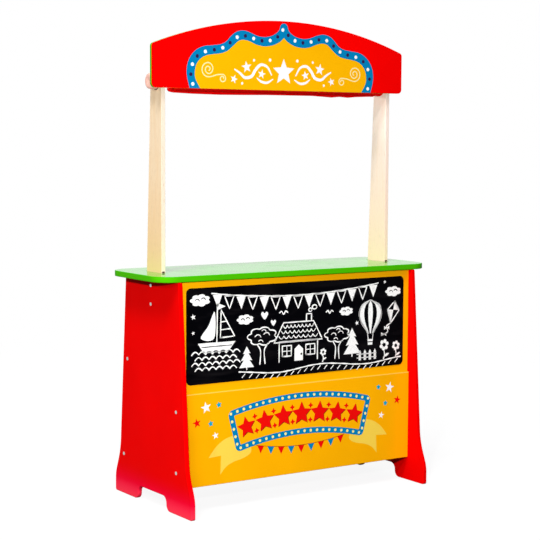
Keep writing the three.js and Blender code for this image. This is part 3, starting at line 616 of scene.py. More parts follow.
SIDES = {"left": -1, "right": 1}
counter_low, counter_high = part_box("counter")
sign_low, sign_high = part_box("sign_board")
lower_low, lower_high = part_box("lower_front_board")
chalk_low, chalk_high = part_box("chalkboard_sheet")
dowel_low, dowel_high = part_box("curtain_dowel")
hem_low, hem_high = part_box("curtain_hem")
roller_place = (dowel_low + dowel_high) / 2
hem_place = (hem_low + hem_high) / 2


# Cabinet

def side_panel(side):
    """Slanting edges that flare into feet, with an arch between the feet."""
    node = f"side_panel_{side}"
    _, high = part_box(node)
    half = [
        (ARCH_DEPTH / 2, ARCH_HEIGHT, ARCH_CORNER_RADIUS),
        (ARCH_DEPTH / 2, 0, TOE_RADIUS),
        (high.y, 0, FOOT_CORNER_RADIUS),
        (high.y, ANKLE_HEIGHT, ANKLE_RADIUS),
        (KNEE_DEPTH / 2, KNEE_HEIGHT, KNEE_RADIUS),
        (PANEL_TOP_DEPTH / 2, high.z, FOOT_CORNER_RADIUS),
    ]
    outline = rounded(half + [(-y, z, radius) for y, z, radius in reversed(half)])
    # only the left panel carries the painted floor reflection at its feet
    paint = floor_reflection_red_paint if side == "left" else red_paint
    board_of(node, f"{node}_painted", outline, FACING_RIGHT, paint, "red_panel")


def counter():
    """Rounded corners, and a slot with round ends for each post."""
    outline = rectangle(counter_low[:2], counter_high[:2], COUNTER_CORNER_RADIUS)
    slots = []
    for side in SIDES:
        low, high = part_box(f"post_{side}")
        radius = (high.x - low.x) / 2 + SLOT_CLEARANCE
        across = (low.x + high.x) / 2
        rear, front = low.y + POST_WIDTH_AT_COUNTER + SLOT_CLEARANCE, low.y - SLOT_CLEARANCE
        slots.append(np.vstack([arc((across, rear), radius, 0, np.pi, CORNER_STEPS),
                                arc((across, front), radius, np.pi, 2 * np.pi, CORNER_STEPS)]))
    board_of("counter", "counter_top", outline, LYING, green_paint, "green_counter", holes=slots,
             edge_finish=green_edge)


def plain_board(node, name, axes, radius, material, slot, **more):
    """A rectangular board with rounded corners."""
    low, high = (np.array(axes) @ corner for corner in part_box(node))
    board_of(node, name, rectangle(low, high, radius), axes, material, slot, **more)


def lower_board():
    """A rebated profile (depth, height), eased at both ends, is carried across the stand."""
    low, high = lower_low, lower_high
    shoulder, lip = high.z - REBATE_HEIGHT, low.y + LIP_THICKNESS
    profile = rounded([
        (low.y, low.z, ARRIS), (high.y, low.z, ARRIS), (high.y, shoulder, THIN_ARRIS),
        (lip, shoulder, THIN_ARRIS), (lip, high.z, THIN_ARRIS), (low.y, high.z, ARRIS),
    ], ARRIS_STEPS)
    board_of("lower_front_board", "lower_board_painted", profile, FACING_RIGHT, yellow_paint, "yellow_front",
             arris=END_EASE)


def post(side):
    """A straight front edge, a rear edge that tapers above the counter, and a bearing hole."""
    node = f"post_{side}"
    # the right post takes the copy of the wood painted lighter
    wood = post_wood if side == "left" else right_post_wood_painted_lighter
    low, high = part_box(node)
    rear = low.y + POST_WIDTH_AT_COUNTER
    outline = rounded([
        (low.y, low.z, POST_TAIL_RADIUS), (rear, low.z, POST_TAIL_RADIUS),
        (rear, counter_high.z, SMALL_CORNER), (low.y + POST_TOP_WIDTH, high.z, POST_TOP_RADIUS),
        (low.y, high.z, SMALL_CORNER),
    ])
    bearing = arc(roller_place[1:], BEARING_RADIUS, 0, 2 * np.pi, 4 * CORNER_STEPS)[:-1]
    board_of(node, f"{node}_planed", outline, FACING_RIGHT, wood, "pale_wood", holes=[bearing],
             arris=THIN_ARRIS)


# Sign board

def sign_outline():
    """Straight foot and ends, and one wide arc over the top that blends into each end."""
    half = sign_high.x
    arch_radius = (half**2 + SIGN_CROWN_RISE**2) / (2 * SIGN_CROWN_RISE)
    arch_centre = sign_high.z - arch_radius
    blend_u = half - SIGN_TOP_RADIUS
    blend_v = arch_centre + math.sqrt((arch_radius - SIGN_TOP_RADIUS) ** 2 - blend_u**2)
    blend_angle = math.atan2(blend_v - arch_centre, blend_u)
    foot = (half - SIGN_BOTTOM_RADIUS, sign_low.z + SIGN_BOTTOM_RADIUS)
    right = np.vstack([arc(foot, SIGN_BOTTOM_RADIUS, -np.pi / 2, 0, CORNER_STEPS),
                       arc((blend_u, blend_v), SIGN_TOP_RADIUS, 0, blend_angle, CORNER_STEPS)])
    arch = arc((0, arch_centre), arch_radius, blend_angle, np.pi - blend_angle, 8 * CORNER_STEPS)[1:-1]
    return np.vstack([right, arch, (right * MIRROR)[::-1]])


def sign():
    """A green board with a red coat over its face and front arris."""
    outline = sign_outline()
    back = (0, (sign_low.y + RED_COAT + sign_high.y) / 2, 0)
    board("sign_board_painted", outline, sign_high.y - sign_low.y - RED_COAT, FACING_FRONT, back, green_edge,
          "red_sign", replaces=["sign_board"])
    face = (0, sign_low.y + 1.5 * RED_COAT, 0)
    board("sign_face", inset(outline, FACE_INSET), 3 * RED_COAT, FACING_FRONT, face, red_print, "red_sign",
          arris=SIGN_ARRIS)


for side in SIDES:
    side_panel(side)
    post(side)
counter()
plain_board("upper_front_panel", "upper_panel_painted", FACING_FRONT, SMALL_CORNER, yellow_paint,
            "yellow_front", arris=THIN_ARRIS)
plain_board("chalkboard_sheet", "chalkboard_face", FACING_FRONT, CHALK_CORNER_RADIUS, chalkboard_paint,
            "chalkboard", arris=CHALK_ARRIS)
lower_board()
for node in ("lower_shelf", "middle_shelf"):
    plain_board(node, f"{node}_painted", LYING, SHELF_CORNER_RADIUS, red_paint, "red_panel")
sign()


# Printed ornament: flat shapes of one ink, each (points, faces), laid over a board's face

LAYER = 0.08 * MM


def patch(outline):
    """A flat shape filled inside its outline."""
    return outline, filled([outline])


def disc(centre, radius, steps=28):
    """One face inside a circle."""
    return arc(centre, radius, 0, 2 * np.pi, steps)[:-1], np.arange(steps)[None, :]


def star(centre, radius, turn=0.0, points=5, waist=0.42):
    """A star whose tips and inner corners lie on two circles."""
    tip = np.arange(2 * points)
    reach = np.where(tip % 2 == 0, radius, radius * waist)[:, None]
    return patch(np.asarray(centre) + reach * circle(np.pi / 2 + turn + tip * np.pi / points))


def strip(line, half_width):
    """A ribbon along a line, with round ends: at each end the half width follows a quarter circle."""
    line = np.asarray(line, float)
    width = np.broadcast_to(half_width, len(line)).astype(float)
    turn = np.linspace(0.25, np.pi / 2, 5)[:-1]
    head = unit(line[0] - line[1])
    tail = unit(line[-1] - line[-2])
    before = line[0] + head * width[0] * np.cos(turn)[:, None]
    after = line[-1] + tail * width[-1] * np.cos(turn[::-1])[:, None]
    path = np.vstack([before, line, after])
    reach = np.concatenate([width[0] * np.sin(turn), width, width[-1] * np.sin(turn[::-1])])[:, None]
    direction = unit(np.gradient(path, axis=0))
    across = np.column_stack([-direction[:, 1], direction[:, 0]])
    points = np.stack([path + across * reach, path - across * reach], axis=1).reshape(-1, 2)
    return points, grid_faces(len(path), 2)


def print_on(name, shapes, front, layer, ink, slot):
    """Lays the shapes on the plane y = front, a number of layers proud of it."""
    start = np.cumsum([0] + [len(points) for points, _ in shapes])
    faces = [shape_faces + first for (_, shape_faces), first in zip(shapes, start)]
    points = lay(np.vstack([points for points, _ in shapes]), FACING_FRONT, (0, front, 0), layer * LAYER)
    new_piece(name, points, [], ink, slot, flat_faces=faces)


def on_sign(name, shapes, layer, ink):
    """Prints shapes on the sign board."""
    print_on(f"sign_{name}", shapes, sign_low.y, layer, ink, "red_sign")


def on_board(name, shapes, layer, ink):
    """Prints shapes on the lower board; the whole print sits a little right of the board's middle."""
    shifted = [(points + (PRINT_SHIFT, 0), faces) for points, faces in shapes]
    print_on(f"board_{name}", shifted, lower_low.y, layer, ink, "yellow_front")


def both_sides(shapes):
    """The shapes and their mirror images across the middle of the stand."""
    return shapes + [(points * MIRROR, faces[:, ::-1]) for points, faces in shapes]


# Marquee border of the sign, from the peak down to the sign's foot, (across, height) in mm
MARQUEE_OUTER = np.array((
    (0, 1094.8), (6.3, 1093), (10.2, 1088), (12.2, 1081.5), (16.8, 1075), (24.5, 1069.8), (36, 1064.6),
    (55, 1061.8), (73, 1063.8), (90, 1069.7), (108, 1074), (122, 1072.8), (134, 1068.2), (146, 1058.5),
    (156, 1048.6), (171, 1041.3), (195, 1038), (214, 1035.6), (232, 1028.6), (247, 1015.8), (256.5, 999.5),
    (260.3, 980.6), (258.4, 962), (251.5, 938))) * MM
MARQUEE_INNER = np.array((
    (0, 1061.5), (11, 1052.4), (29, 1044.2), (52, 1040.5), (74.5, 1043.3), (93, 1050), (110, 1053),
    (124, 1049.9), (140, 1037), (154, 1026.6), (170, 1021), (190, 1018.2), (208, 1015), (222, 1008.6),
    (234, 996), (238.8, 978), (237, 962), (223, 938))) * MM
MARQUEE_LAMPS = np.array((
    (0, 1081.3), (14.5, 1065.8), (34.5, 1055.3), (57, 1052.7), (80, 1056.3), (102.2, 1061.9), (124.7, 1059.5),
    (144, 1046.8), (163.2, 1034.2), (185.6, 1028.4), (209.5, 1024), (231.2, 1013.7), (244.5, 995.3),
    (249.2, 972.8), (244.1, 950.4))) * MM
LAMP_SLIP = 3.6 * MM
WHITE_LAMP_RADIUS = 4.1 * MM
DARK_LAMP_RADIUS = 4.3 * MM


def both_halves(half, joint):
    """A smooth line through the points of one half, from its foot over the top, and through their mirror
    image. A joint of 1 or more repeats points across the middle, so that the line runs on smoothly there."""
    before = half[1:joint + 1][::-1] * MIRROR
    line = curve(np.vstack([before, half]), 8)[8 * joint:]
    foot = sign_low.z + SIGN_ARRIS
    below = np.argmax(line[:, 1] < foot)
    share = (line[below - 1, 1] - foot) / (line[below - 1, 1] - line[below, 1])
    line = np.vstack([line[:below], line[below - 1] + share * (line[below] - line[below - 1])])
    return np.vstack([line[::-1], line[1:] * MIRROR])


def marquee_lamps():
    """The lamps sit on a smooth line, and slip along it a little towards the left near the peak."""
    line = curve(np.vstack([MARQUEE_LAMPS[:0:-1] * MIRROR, MARQUEE_LAMPS]), 12)
    stops = lengths(line)[::12]
    return at_lengths(line, stops - LAMP_SLIP * np.sin(np.pi * stops / stops[-1]) ** 0.6)


def marquee():
    """The blue border fills the space between its two lines, and gold the space within the inner one."""
    outer, inner = both_halves(MARQUEE_OUTER, 1), both_halves(MARQUEE_INNER, 0)
    on_sign("gold_field", [patch(inner)], 1, INKS["gold"])
    on_sign("blue_border", [patch(np.vstack([outer, inner[::-1]]))], 2, INKS["blue"])
    lamps = marquee_lamps()
    on_sign("white_lamps", [disc(place, WHITE_LAMP_RADIUS) for place in lamps[::2]], 3, INKS["white"])
    on_sign("dark_lamps", [disc(place, DARK_LAMP_RADIUS) for place in lamps[1::2]], 3, INKS["navy"])


# Each spiral's radii in mm, first and last angle, and number of points
LARGE_SCROLL = ((2.6, 5.2, 7.6, 8.8, 10.6, 14.6, 16.8, 16.8), -60, 640, 26)
SMALL_SCROLL = ((9.6, 7.9, 7.0, 6.4, 5.2, 2.8), 108, -350, 16)
SCROLL_HALF_WIDTH = 1.25 * MM
SCROLL_POINTS = 170
SCROLL_CENTRE = np.array((-203.5, 984.0)) * MM
SCROLL_LINK = np.array(((-191.5, 969.4), (-182.5, 972.2))) * MM
SCROLL_CURL_CENTRE = np.array((-166.1, 964.4)) * MM
# Flourishes: points (across, height) in mm, steps, least half width, its growth to the middle, and its bend
FLOURISHES = (
    (((34, 976), (46, 994), (64, 998), (78, 986), (88, 972), (106, 968), (120, 978), (134, 986)),
     10, 1.1, 2.6, 0.8),
    (((30, 966), (46, 958), (62, 960), (74, 968)), 8, 1.0, 1.9, 1))
# Across, height and radius in mm, the stars with their turn
SIGN_STARS = ((61, 977, 11, 0.2), (102, 992, 14, -0.15), (136, 964, 10, 0.3))
MIDDLE_STAR = (0, 983 * MM)
MIDDLE_STAR_RADIUS = 31 * MM
SIGN_DOTS = ((38, 1010, 3.6), (82, 1008, 3), (114, 955, 3))


def spiral(centre, radii, start, end, steps):
    """A spiral whose radius runs through even steps between the given ones."""
    radius = np.interp(np.linspace(0, 1, steps), np.linspace(0, 1, len(radii)), radii) * MM
    return centre + radius[:, None] * circle(np.radians(np.linspace(start, end, steps)))


def scroll():
    """A large spiral runs out under itself, and rises into a small one that curls the other way."""
    large, small = spiral(SCROLL_CENTRE, *LARGE_SCROLL), spiral(SCROLL_CURL_CENTRE, *SMALL_SCROLL)
    line = curve(np.vstack([large, SCROLL_LINK, small]), 6)
    return at_lengths(line, np.linspace(0, lengths(line)[-1], SCROLL_POINTS))


def sign_ornament():
    """Cream scrolls at both ends, and white stars between flourishes."""
    on_sign("cream_scrolls", both_sides([strip(scroll(), SCROLL_HALF_WIDTH)]), 2, INKS["cream"])
    shapes = []
    for points, steps, least, growth, bend in FLOURISHES:
        line = curve(np.array(points) * MM, steps)
        half = least + growth * np.sin(np.linspace(0.1, np.pi - 0.1, len(line))) ** bend
        shapes.append(strip(line, half * MM))
    shapes += [star((x * MM, z * MM), radius * MM, turn) for x, z, radius, turn in SIGN_STARS]
    shapes += [disc((x * MM, z * MM), radius * MM) for x, z, radius in SIGN_DOTS]
    middle_star = star(MIDDLE_STAR, MIDDLE_STAR_RADIUS, waist=0.45)
    on_sign("white_stars", [middle_star, *both_sides(shapes)], 2, INKS["white"])


# Lamp frame of the lower board: a band between two arcs about one centre and two radial ends
FRAME_CENTRE = np.array((0.0, -531.0)) * MM
FRAME_OUTER_RADIUS = 769 * MM
FRAME_INNER_RADIUS = 685 * MM
FRAME_HALF_ANGLE = math.radians(14.55)
FRAME_HALF_WIDTH = 6.9 * MM
FRAME_CORNER_RADIUS = 12 * MM
FRAME_LAMP_RADIUS = 3.3 * MM
FRAME_STEPS = 48
# Lamps along the frame's two arcs: number and farthest angle; at its ends: distances from the centre, angle
OUTER_LAMPS = (23, 14.55)
INNER_LAMPS = (20, 14.1)
END_LAMPS = np.array((750.5, 732.5, 714.5, 696.5))[:, None] * MM
END_LAMP_ANGLE = 14.65
# The row of stars: its step in degrees, and its middle star's radius in mm. Each next star is 1 mm smaller
ROW_STEP = 4.0
ROW_RADIUS = 28
ROW_SHADOW = np.array((1.2, -1.2)) * MM
DIAMOND_RADIUS = 7.5 * MM
DIAMOND_OFFSET = 17 * MM


def sector(grow, corner):
    """The rounded outline of a ring sector, grown outwards by a distance."""
    outer, inner = FRAME_OUTER_RADIUS + grow, FRAME_INNER_RADIUS - grow
    top, bottom = FRAME_HALF_ANGLE + grow / outer, FRAME_HALF_ANGLE + grow / inner
    high = arc(FRAME_CENTRE, outer, np.pi / 2 - top, np.pi / 2 + top, FRAME_STEPS)
    low = arc(FRAME_CENTRE, inner, np.pi / 2 + bottom, np.pi / 2 - bottom, FRAME_STEPS)
    marks = np.array((0, FRAME_STEPS, FRAME_STEPS + 1, 2 * FRAME_STEPS + 1))
    return soften(np.vstack([high, low]), marks, corner)


def soften(outline, marks, radius):
    """Rounds the marked corners of an outline and drops the points that the arcs replace."""
    corners, count = outline[marks], len(outline)
    arcs, setback = corner_arcs(corners, outline[marks - 1], outline[(marks + 1) % count],
                                np.full(len(marks), radius), 10)
    kept = []
    for number, (here, after) in enumerate(zip(marks, np.roll(marks, -1))):
        stretch = outline[np.arange(here + 1, after if after > here else after + count) % count]
        far = np.minimum(np.linalg.norm(stretch - outline[here], axis=1),
                         np.linalg.norm(stretch - outline[after], axis=1)) > setback[number]
        kept += [arcs[number], stretch[far]]
    return np.vstack(kept)


PRINT_SHIFT = 2.5 * MM
RIBBON = np.array(((184, 164), (207, 158.3), (226.6, 147), (240.8, 133), (251.5, 119.4))) * MM
RIBBON_NOTCH = np.array(((218.6, 121.4), (220.8, 78.4))) * MM
RIBBON_FOOT = np.array(((206, 94), (186, 103.5), (162, 108.5), (145.3, 115), (138, 123.5), (139, 132))) * MM
# Stars beside the frame: colour, across, height and radius in mm
STARS = (("white", 258, 234, 14), ("cyan", 224.5, 237.3, 7.6), ("red", 281.7, 201.2, 11.5),
         ("cyan", 245.8, 196.6, 7.6), ("white", 233.4, 168.6, 9))
BUNTING_LOW = 121.8 * MM
BUNTING_RISE = 12.8 * MM
BUNTING_HALF_SPAN = 124 * MM
PENNANT_STEP = 28.2 * MM
PENNANT_WIDTH = 19 * MM
PENNANT_LENGTH = 18 * MM


def bunting_height(across):
    """The string hangs as a parabola."""
    return BUNTING_LOW + BUNTING_RISE * (across / BUNTING_HALF_SPAN) ** 2


def pennant(number):
    """A triangle that hangs from the string, a number of steps from the middle."""
    across = number * PENNANT_STEP + np.array((-0.5, 0.0, 0.5)) * PENNANT_WIDTH
    height = bunting_height(across)
    height[1] = bunting_height(across[1]) - PENNANT_LENGTH
    return np.column_stack([across, height]), np.array(((0, 1, 2),))


def on_frame(degrees, radius):
    """Places on the lamp frame, by the angle from upright and the distance from the arcs' centre."""
    return FRAME_CENTRE + radius * circle(np.radians(np.atleast_1d(degrees)))[:, ::-1]


def lower_print():
    """Ribbons, lamp frame, stars and bunting of the lower board."""
    foot = curve(np.vstack([RIBBON_NOTCH[1:], RIBBON_FOOT]), 6)
    tail = np.vstack([curve(RIBBON, 8), RIBBON_NOTCH[:1], foot])
    on_board("ribbons", both_sides([patch(tail)]), 1, INKS["ribbon"])
    outer = sector(FRAME_HALF_WIDTH, FRAME_CORNER_RADIUS)
    inner = sector(-FRAME_HALF_WIDTH, FRAME_CORNER_RADIUS / 5)
    on_board("gold_field", [patch(outer)], 2, yellow_paint)
    on_board("blue_frame", [(np.vstack([outer, inner]), filled([outer, inner]))], 3, INKS["blue"])
    rows = [on_frame(np.linspace(-last, last, count), radius) for (count, last), radius in (
        (OUTER_LAMPS, FRAME_OUTER_RADIUS), (INNER_LAMPS, FRAME_INNER_RADIUS))]
    ends = [on_frame(np.full(len(END_LAMPS), degrees), END_LAMPS)
            for degrees in (-END_LAMP_ANGLE, END_LAMP_ANGLE)]
    lamps = np.vstack(rows + ends)
    on_board("lamps", [disc(place, FRAME_LAMP_RADIUS) for place in lamps], 4, INKS["pale_yellow"])
    across = np.linspace(-BUNTING_HALF_SPAN, BUNTING_HALF_SPAN, 60)
    on_board("string", [strip(np.column_stack([across, bunting_height(across)]), 0.5 * MM)], 2,
             INKS["dark_red"])
    for colour, first in (("red", -4), ("blue", -3)):
        on_board(f"{colour}_pennants", [pennant(number) for number in range(first, 5, 2)], 1, INKS[colour])
    for colour, waist in (("white", 0.4), ("cyan", 0.5), ("red", 0.4)):
        shapes = [star((x * MM, z * MM), radius * MM, -0.2, waist=waist)
                  for name, x, z, radius in STARS if name == colour]
        on_board(f"{colour}_stars", both_sides(shapes), 1, INKS[colour])
    # painted highlight: a paler line just under the lower board's top edge, where its arris catches the light
    edge = np.array(((-lower_high.x, lower_high.z), (lower_high.x, lower_high.z))) - (PRINT_SHIFT, 1.5 * MM)
    on_board("thin_painted_edge", [strip(edge, 0.9 * MM)], 1, thin_paint)


def emblem():
    """A row of red stars along the frame's middle arc, with small diamonds between them."""
    middle_radius = (FRAME_OUTER_RADIUS + FRAME_INNER_RADIUS) / 2
    stars, shadows, gems = [], [], []
    for number in range(-3, 4):
        degrees = number * ROW_STEP
        place, turn = on_frame(degrees, middle_radius)[0], -math.radians(degrees)
        radius = (ROW_RADIUS - abs(number)) * MM
        shadows.append(star(place + ROW_SHADOW, radius, turn, waist=0.5))
        stars.append(star(place, radius, turn, waist=0.48))
        if number < 3:
            between = degrees + ROW_STEP / 2
            gems += [star(on_frame(between, middle_radius + step)[0], DIAMOND_RADIUS, -math.radians(between),
                          points=4, waist=0.5) for step in (-DIAMOND_OFFSET, DIAMOND_OFFSET)]
    on_board("star_shadows", shadows, 3, INKS["dark_red"])
    on_board("row_of_stars", stars, 4, INKS["red"])
    on_board("diamonds", gems, 3, INKS["red"])


# A painted slot shadow's place, from the post's left edge and the counter's top, and its half widths
SLOT_SHADOW_PLACE = np.array((4.8, 1.6)) * MM
SLOT_SHADOW_SIZE = np.array((4.2, 2.0)) * MM


def post_slot_shadows():
    """A small dark patch at the front foot of each post, at the counter's slot: a painted shadow of the
    slot's gap.
    """
    for side in SIDES:
        low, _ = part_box(f"post_{side}")
        # painted shadow: a dark patch where the slot's gap lies in shade
        slot_shadow = patch(ring(*SLOT_SHADOW_PLACE + (low.x, counter_high.z), *SLOT_SHADOW_SIZE, 16))
        print_on(f"post_slot_shadow_{side}", [slot_shadow], low.y, 1, slot_shadow_wood, "pale_wood")


# Chalk drawings: places in mm from the middle of the board, strokes in mm about their motif's place

CHALK_WIDTH = 2.9
WAVE_LENGTHS = np.array((47, 19, 8))[:, None]
WAVE_HEIGHTS = np.array((0.27, 0.135, 0.09))[:, None]
chalk_marks = []
slate_marks = []


def stroke(style, points):
    """A hand-drawn stroke. The style's words: straight (else smooth), closed, filled (rubbed in with the
    chalk's side), thin, and dark (the board's black over the chalk). Three sines of the distance along
    the line move it sideways, and it gets thicker and thinner by a fifth."""
    points = np.asarray(points, float)
    closed = "closed" in style or "filled" in style
    if "straight" in style:
        corners = np.vstack([points, points[:1]]) if closed else points
        spans = [np.linspace(a, b, 8, endpoint=False) for a, b in zip(corners[:-1], corners[1:])]
        line = np.vstack(spans if closed else [*spans, corners[-1:]])
    else:
        line = curve(points, 7, closed)
    reach = lengths(line)
    waves = np.sin(reach[:, None, None] / WAVE_LENGTHS + RNG.uniform(0, 6, (3, 2)))
    line = line + (waves * WAVE_HEIGHTS).sum(axis=1)
    marks = slate_marks if "dark" in style else chalk_marks
    if "filled" in style:
        marks.append(patch(line))
        return
    half = (CHALK_WIDTH / 2 * (0.7 if "thin" in style else 1)
            * (1 + 0.2 * np.sin(reach / 5.3 + RNG.uniform(0, 6))))
    if closed:
        line, half = np.vstack([line, line[:2]]), np.append(half, half[:2])
    marks.append(strip(line, half))


def motif(x, y, size, *strokes):
    """Strokes (style, points) about a place, made larger by the size."""
    for style, *points in strokes:
        stroke(style, np.array(points) * size + (x, y))


def ring(x, y, across, upright, count=12):
    """Points on an ellipse with the given half widths."""
    return (x, y) + circle(np.linspace(0, 2 * np.pi, count, endpoint=False)) * (across, upright)


def scallops(left, right, height, width, depth):
    """A row of arcs that hang between cusps."""
    across = np.linspace(left, right, round((right - left) / width) * 8 + 1)
    return np.column_stack([across, height - depth * np.abs(np.sin(np.pi * (across - left) / width))])


def cloud(x, y, size, style="filled"):
    """Puffs: a flat ellipse whose edge bulges in arcs, seven times round."""
    angle = np.linspace(0, 2 * np.pi, 28, endpoint=False)
    bulge = size * (1 + 0.2 * np.abs(np.sin(3.5 * angle)))
    stroke(style, (x, y) + bulge[:, None] * circle(angle) * (1, 0.52))
    for side in (-1, 1):
        puff = ring(x + size * 0.35 * side, y + size * 0.05 * side, size * 0.24, size * 0.18, 7)[:4]
        stroke("thin dark" if "filled" in style else "thin", puff)


def boat(x, y):
    """A hull, a mast with two sails and a flag, on rows of waves."""
    motif(x, y, 1, ("filled straight", (-48, 0), (-33, -22), (31, -22), (50, 0)),
          ("thin dark", (-38, -9), (40, -9)), ("straight", (1, 0), (2, 84)),
          ("straight closed", (10, 9), (48, 11), (12, 72)),
          ("straight", (12, 27), (36, 28)), ("straight", (12, 45), (25, 46)),
          ("filled", (-6, 9), (-40, 11), (-21, 38), (-5, 68)),
          ("filled straight", (3, 88), (24, 80), (3, 72)))
    for row in range(4):
        shift = 9 * (row % 2)
        stroke("", scallops(x - 64 + shift, x + 62 - shift, y - 25 - 12 * row, 18, -6))


def balloon(x, y, size):
    """A pear-shaped envelope in gores, rubbed in by turns, over ropes and a basket."""
    level = np.linspace(0, 1, 9)
    girth = size * np.sin(np.pi * level**0.75) ** 0.72
    girth[-1] = size * 0.24
    height = y + size * (1.25 - 2.35 * level)
    for left, right in ((-1.0, -0.56), (-0.2, 0.2), (0.56, 1.0)):
        edge, other = (np.column_stack([x + girth * gore, height]) for gore in (left, right))
        stroke("filled straight", np.vstack([edge, other[::-1]]))
    for side in (0.98, -0.98):
        stroke("", np.column_stack([x + girth * side, height]))
    motif(x, y, size, ("thin straight", (-0.24, -1.1), (-0.18, -1.5)),
          ("thin straight", (0.24, -1.1), (0.18, -1.5)),
          ("filled straight", (-0.24, -1.5), (0.24, -1.5), (0.19, -1.9), (-0.19, -1.9)),
          ("thin dark", (-0.2, -1.68), (0.2, -1.68)))


def cottage(x, y):
    """Walls, a tiled roof, a door, two windows and a chimney with puffs of smoke."""
    motif(x, y, 1, ("straight", (-54, 0), (-54, 46), (54, 46), (54, 0)),
          ("straight closed", (-68, 45), (-42, 90), (42, 90), (68, 45)),
          ("filled straight", (-11, 0), (13, 0), (13, 27), (1, 37), (-11, 27)),
          ("thin dark closed", *ring(8, 15, 1.5, 1.5, 6)),
          ("straight", (22, 92), (22, 107), (36, 107), (36, 92)),
          ("closed", *ring(33, 116, 4.5, 4, 8)), ("closed", *ring(45, 122, 6.5, 5, 9)))
    for left in (-45, 21):
        motif(x + left, y + 12, 1, ("straight closed", (0, 0), (25, 0), (25, 24), (0, 24)),
              ("thin", (12.5, 1), (12.5, 23)), ("thin", (1, 12), (24, 12)))
    for row, half in enumerate((54, 48, 42)):
        stroke("thin", scallops(x - half, x + half, y + 59 + 12 * row, half / 4, 6))


def fir(x, y, size, style):
    """Three skirts of branches over a trunk."""
    right = np.column_stack([(0, 0.3, 0.14, 0.45, 0.22, 0.6), (1.6, 1.1, 1.12, 0.62, 0.66, 0.14)])
    outline = np.vstack([right, (right * (-1, 1))[:0:-1]])
    motif(x, y, size, (style, *outline), ("straight", (0, 0.12), (0, 0)))


def oak(x, y, size):
    """A round crown of puffs with arcs inside, on a forked trunk."""
    cloud(x, y + size * 1.5, size * 0.8, "closed")
    for dx, dy in ((-0.1, 1.2), (0.1, 1.75)):
        stroke("thin", ring(x + size * dx, y + size * dy, size * 0.14, size * 0.1, 7)[:4])
    motif(x, y, size, ("", (-0.16, 0), (-0.11, 0.7), (-0.32, 1.08)),
          ("", (0.18, 0), (0.13, 0.7), (0.36, 1.08)))


def fence(start, end, y):
    """Pickets with pointed tops, and two rails."""
    for left in np.arange(start, end, 15.0):
        motif(left, y, 1, ("filled straight", (0, 0), (0, 19), (3.5, 25), (7, 19), (7, 0)))
    for height in (6, 15):
        stroke("thin", [(start - 5, y + height), (end, y + height)])


def flower(x, y, size):
    """Six rubbed petals round a dark middle, over a stem with a leaf."""
    for place in (x, y) + 0.66 * size * circle(np.arange(6) * np.pi / 3 + 0.3):
        stroke("filled", ring(*place, size * 0.34, size * 0.34, 8))
    stroke("filled dark", ring(x, y, size * 0.26, size * 0.26, 8))
    motif(x, y, size, ("", (0, -1), (0.1, -1.7), (-0.1, -2.4)),
          ("filled", (0, -2), (0.5, -1.5), (1.1, -1.5), (0.6, -1.95)))


def kite(x, y, size):
    """A crossed diamond, half of it rubbed in, and a tail with bows."""
    motif(x, y, size, ("straight closed", (0.2, 1), (-0.62, 0.28), (-0.25, -1), (0.7, 0.12)),
          ("filled straight", (0.2, 1), (0.7, 0.12), (0.02, 0.2)),
          ("filled straight", (-0.62, 0.28), (-0.25, -1), (0.02, 0.2)),
          ("", (-0.25, -1), (-0.75, -1.3), (-0.6, -1.8), (-1.3, -2.1)))
    for dx, dy in ((-0.72, -1.42), (-1.05, -2.0)):
        for side in (-1, 1):
            motif(x + size * dx, y + size * dy, size * 0.3,
                  ("filled straight", (0, 0), (side, 0.6), (side, -0.6)))


def garland():
    """Pennants on a sagging string, rubbed in and left open by turns."""
    def sag(across):
        return 16 * ((across + 6) / 232) ** 2

    across = np.linspace(-238, 226, 25)
    stroke("", np.column_stack([across, 78 + sag(across)]))
    for number in range(-7, 8):
        x = 31 * number - 6
        style = "filled straight" if number % 2 else "straight closed"
        motif(x, 76 + sag(x), 1, (style, (-12.5, 0), (12.5, 0.4), (0.5, -29)))


def chalk_drawings():
    """A garland over a boat, a cottage between trees, a balloon, clouds, a kite and flowers."""
    garland()
    boat(-226, -16)
    cottage(-4, -74)
    oak(-104, -74, 42)
    oak(106, -78, 38)
    fir(-146, -84, 33, "filled straight")
    fir(150, -76, 42, "filled straight")
    fence(170, 222, -88)
    balloon(204, 12, 34)
    for x, y, size in ((-268, 80, 22), (-150, 30, 19), (132, 32, 17), (272, 72, 20)):
        cloud(x, y, size)
    kite(272, 22, 26)
    for x, y, size in ((246, -56, 14), (282, -60, 12), (66, -60, 9)):
        flower(x, y, size)
    ground = np.linspace(-166, 296, 32)
    stroke("", np.column_stack([ground, -92 + 5 * np.sin(ground / 40)]))
    for x in np.arange(-150, 290, 19.0):
        hollow = 5 * math.sin(x / 40)
        stroke("thin", [(x, hollow - 96), (x - 8, hollow - 104)])
    for x, y, size in ((-286, 44, 7), (-286, 8, 5), (164, 2, 6), (246, 96, 5)):
        chalk_marks.append(star((x, y), size, 0.2))
    heart = ("filled", (0, -1), (0.9, 0), (1, 0.6), (0.55, 0.95),
             (0, 0.55), (-0.55, 0.95), (-1, 0.6), (-0.9, 0))
    bird = ("", (-1, 0.35), (-0.5, 0.65), (0, 0), (0.5, 0.65), (1, 0.35))
    for x, y, size, shape in (
            (-98, 36, 9, heart), (-74, 18, 7, heart), (-46, 36, 11, bird), (84, 30, 10, bird)):
        motif(x, y, size, shape)
    middle = np.array((chalk_low.x + chalk_high.x, chalk_low.z + chalk_high.z)) / 2
    for name, marks, layer, finish in (("chalk_drawings", chalk_marks, 1, chalk_white),
                                       ("chalk_gaps", slate_marks, 2, chalkboard_paint)):
        shapes = [(points * MM + middle, faces) for points, faces in marks]
        print_on(name, shapes, chalk_low.y, layer, finish, "chalkboard")


marquee()
sign_ornament()
lower_print()
emblem()
post_slot_shadows()
chalk_drawings()


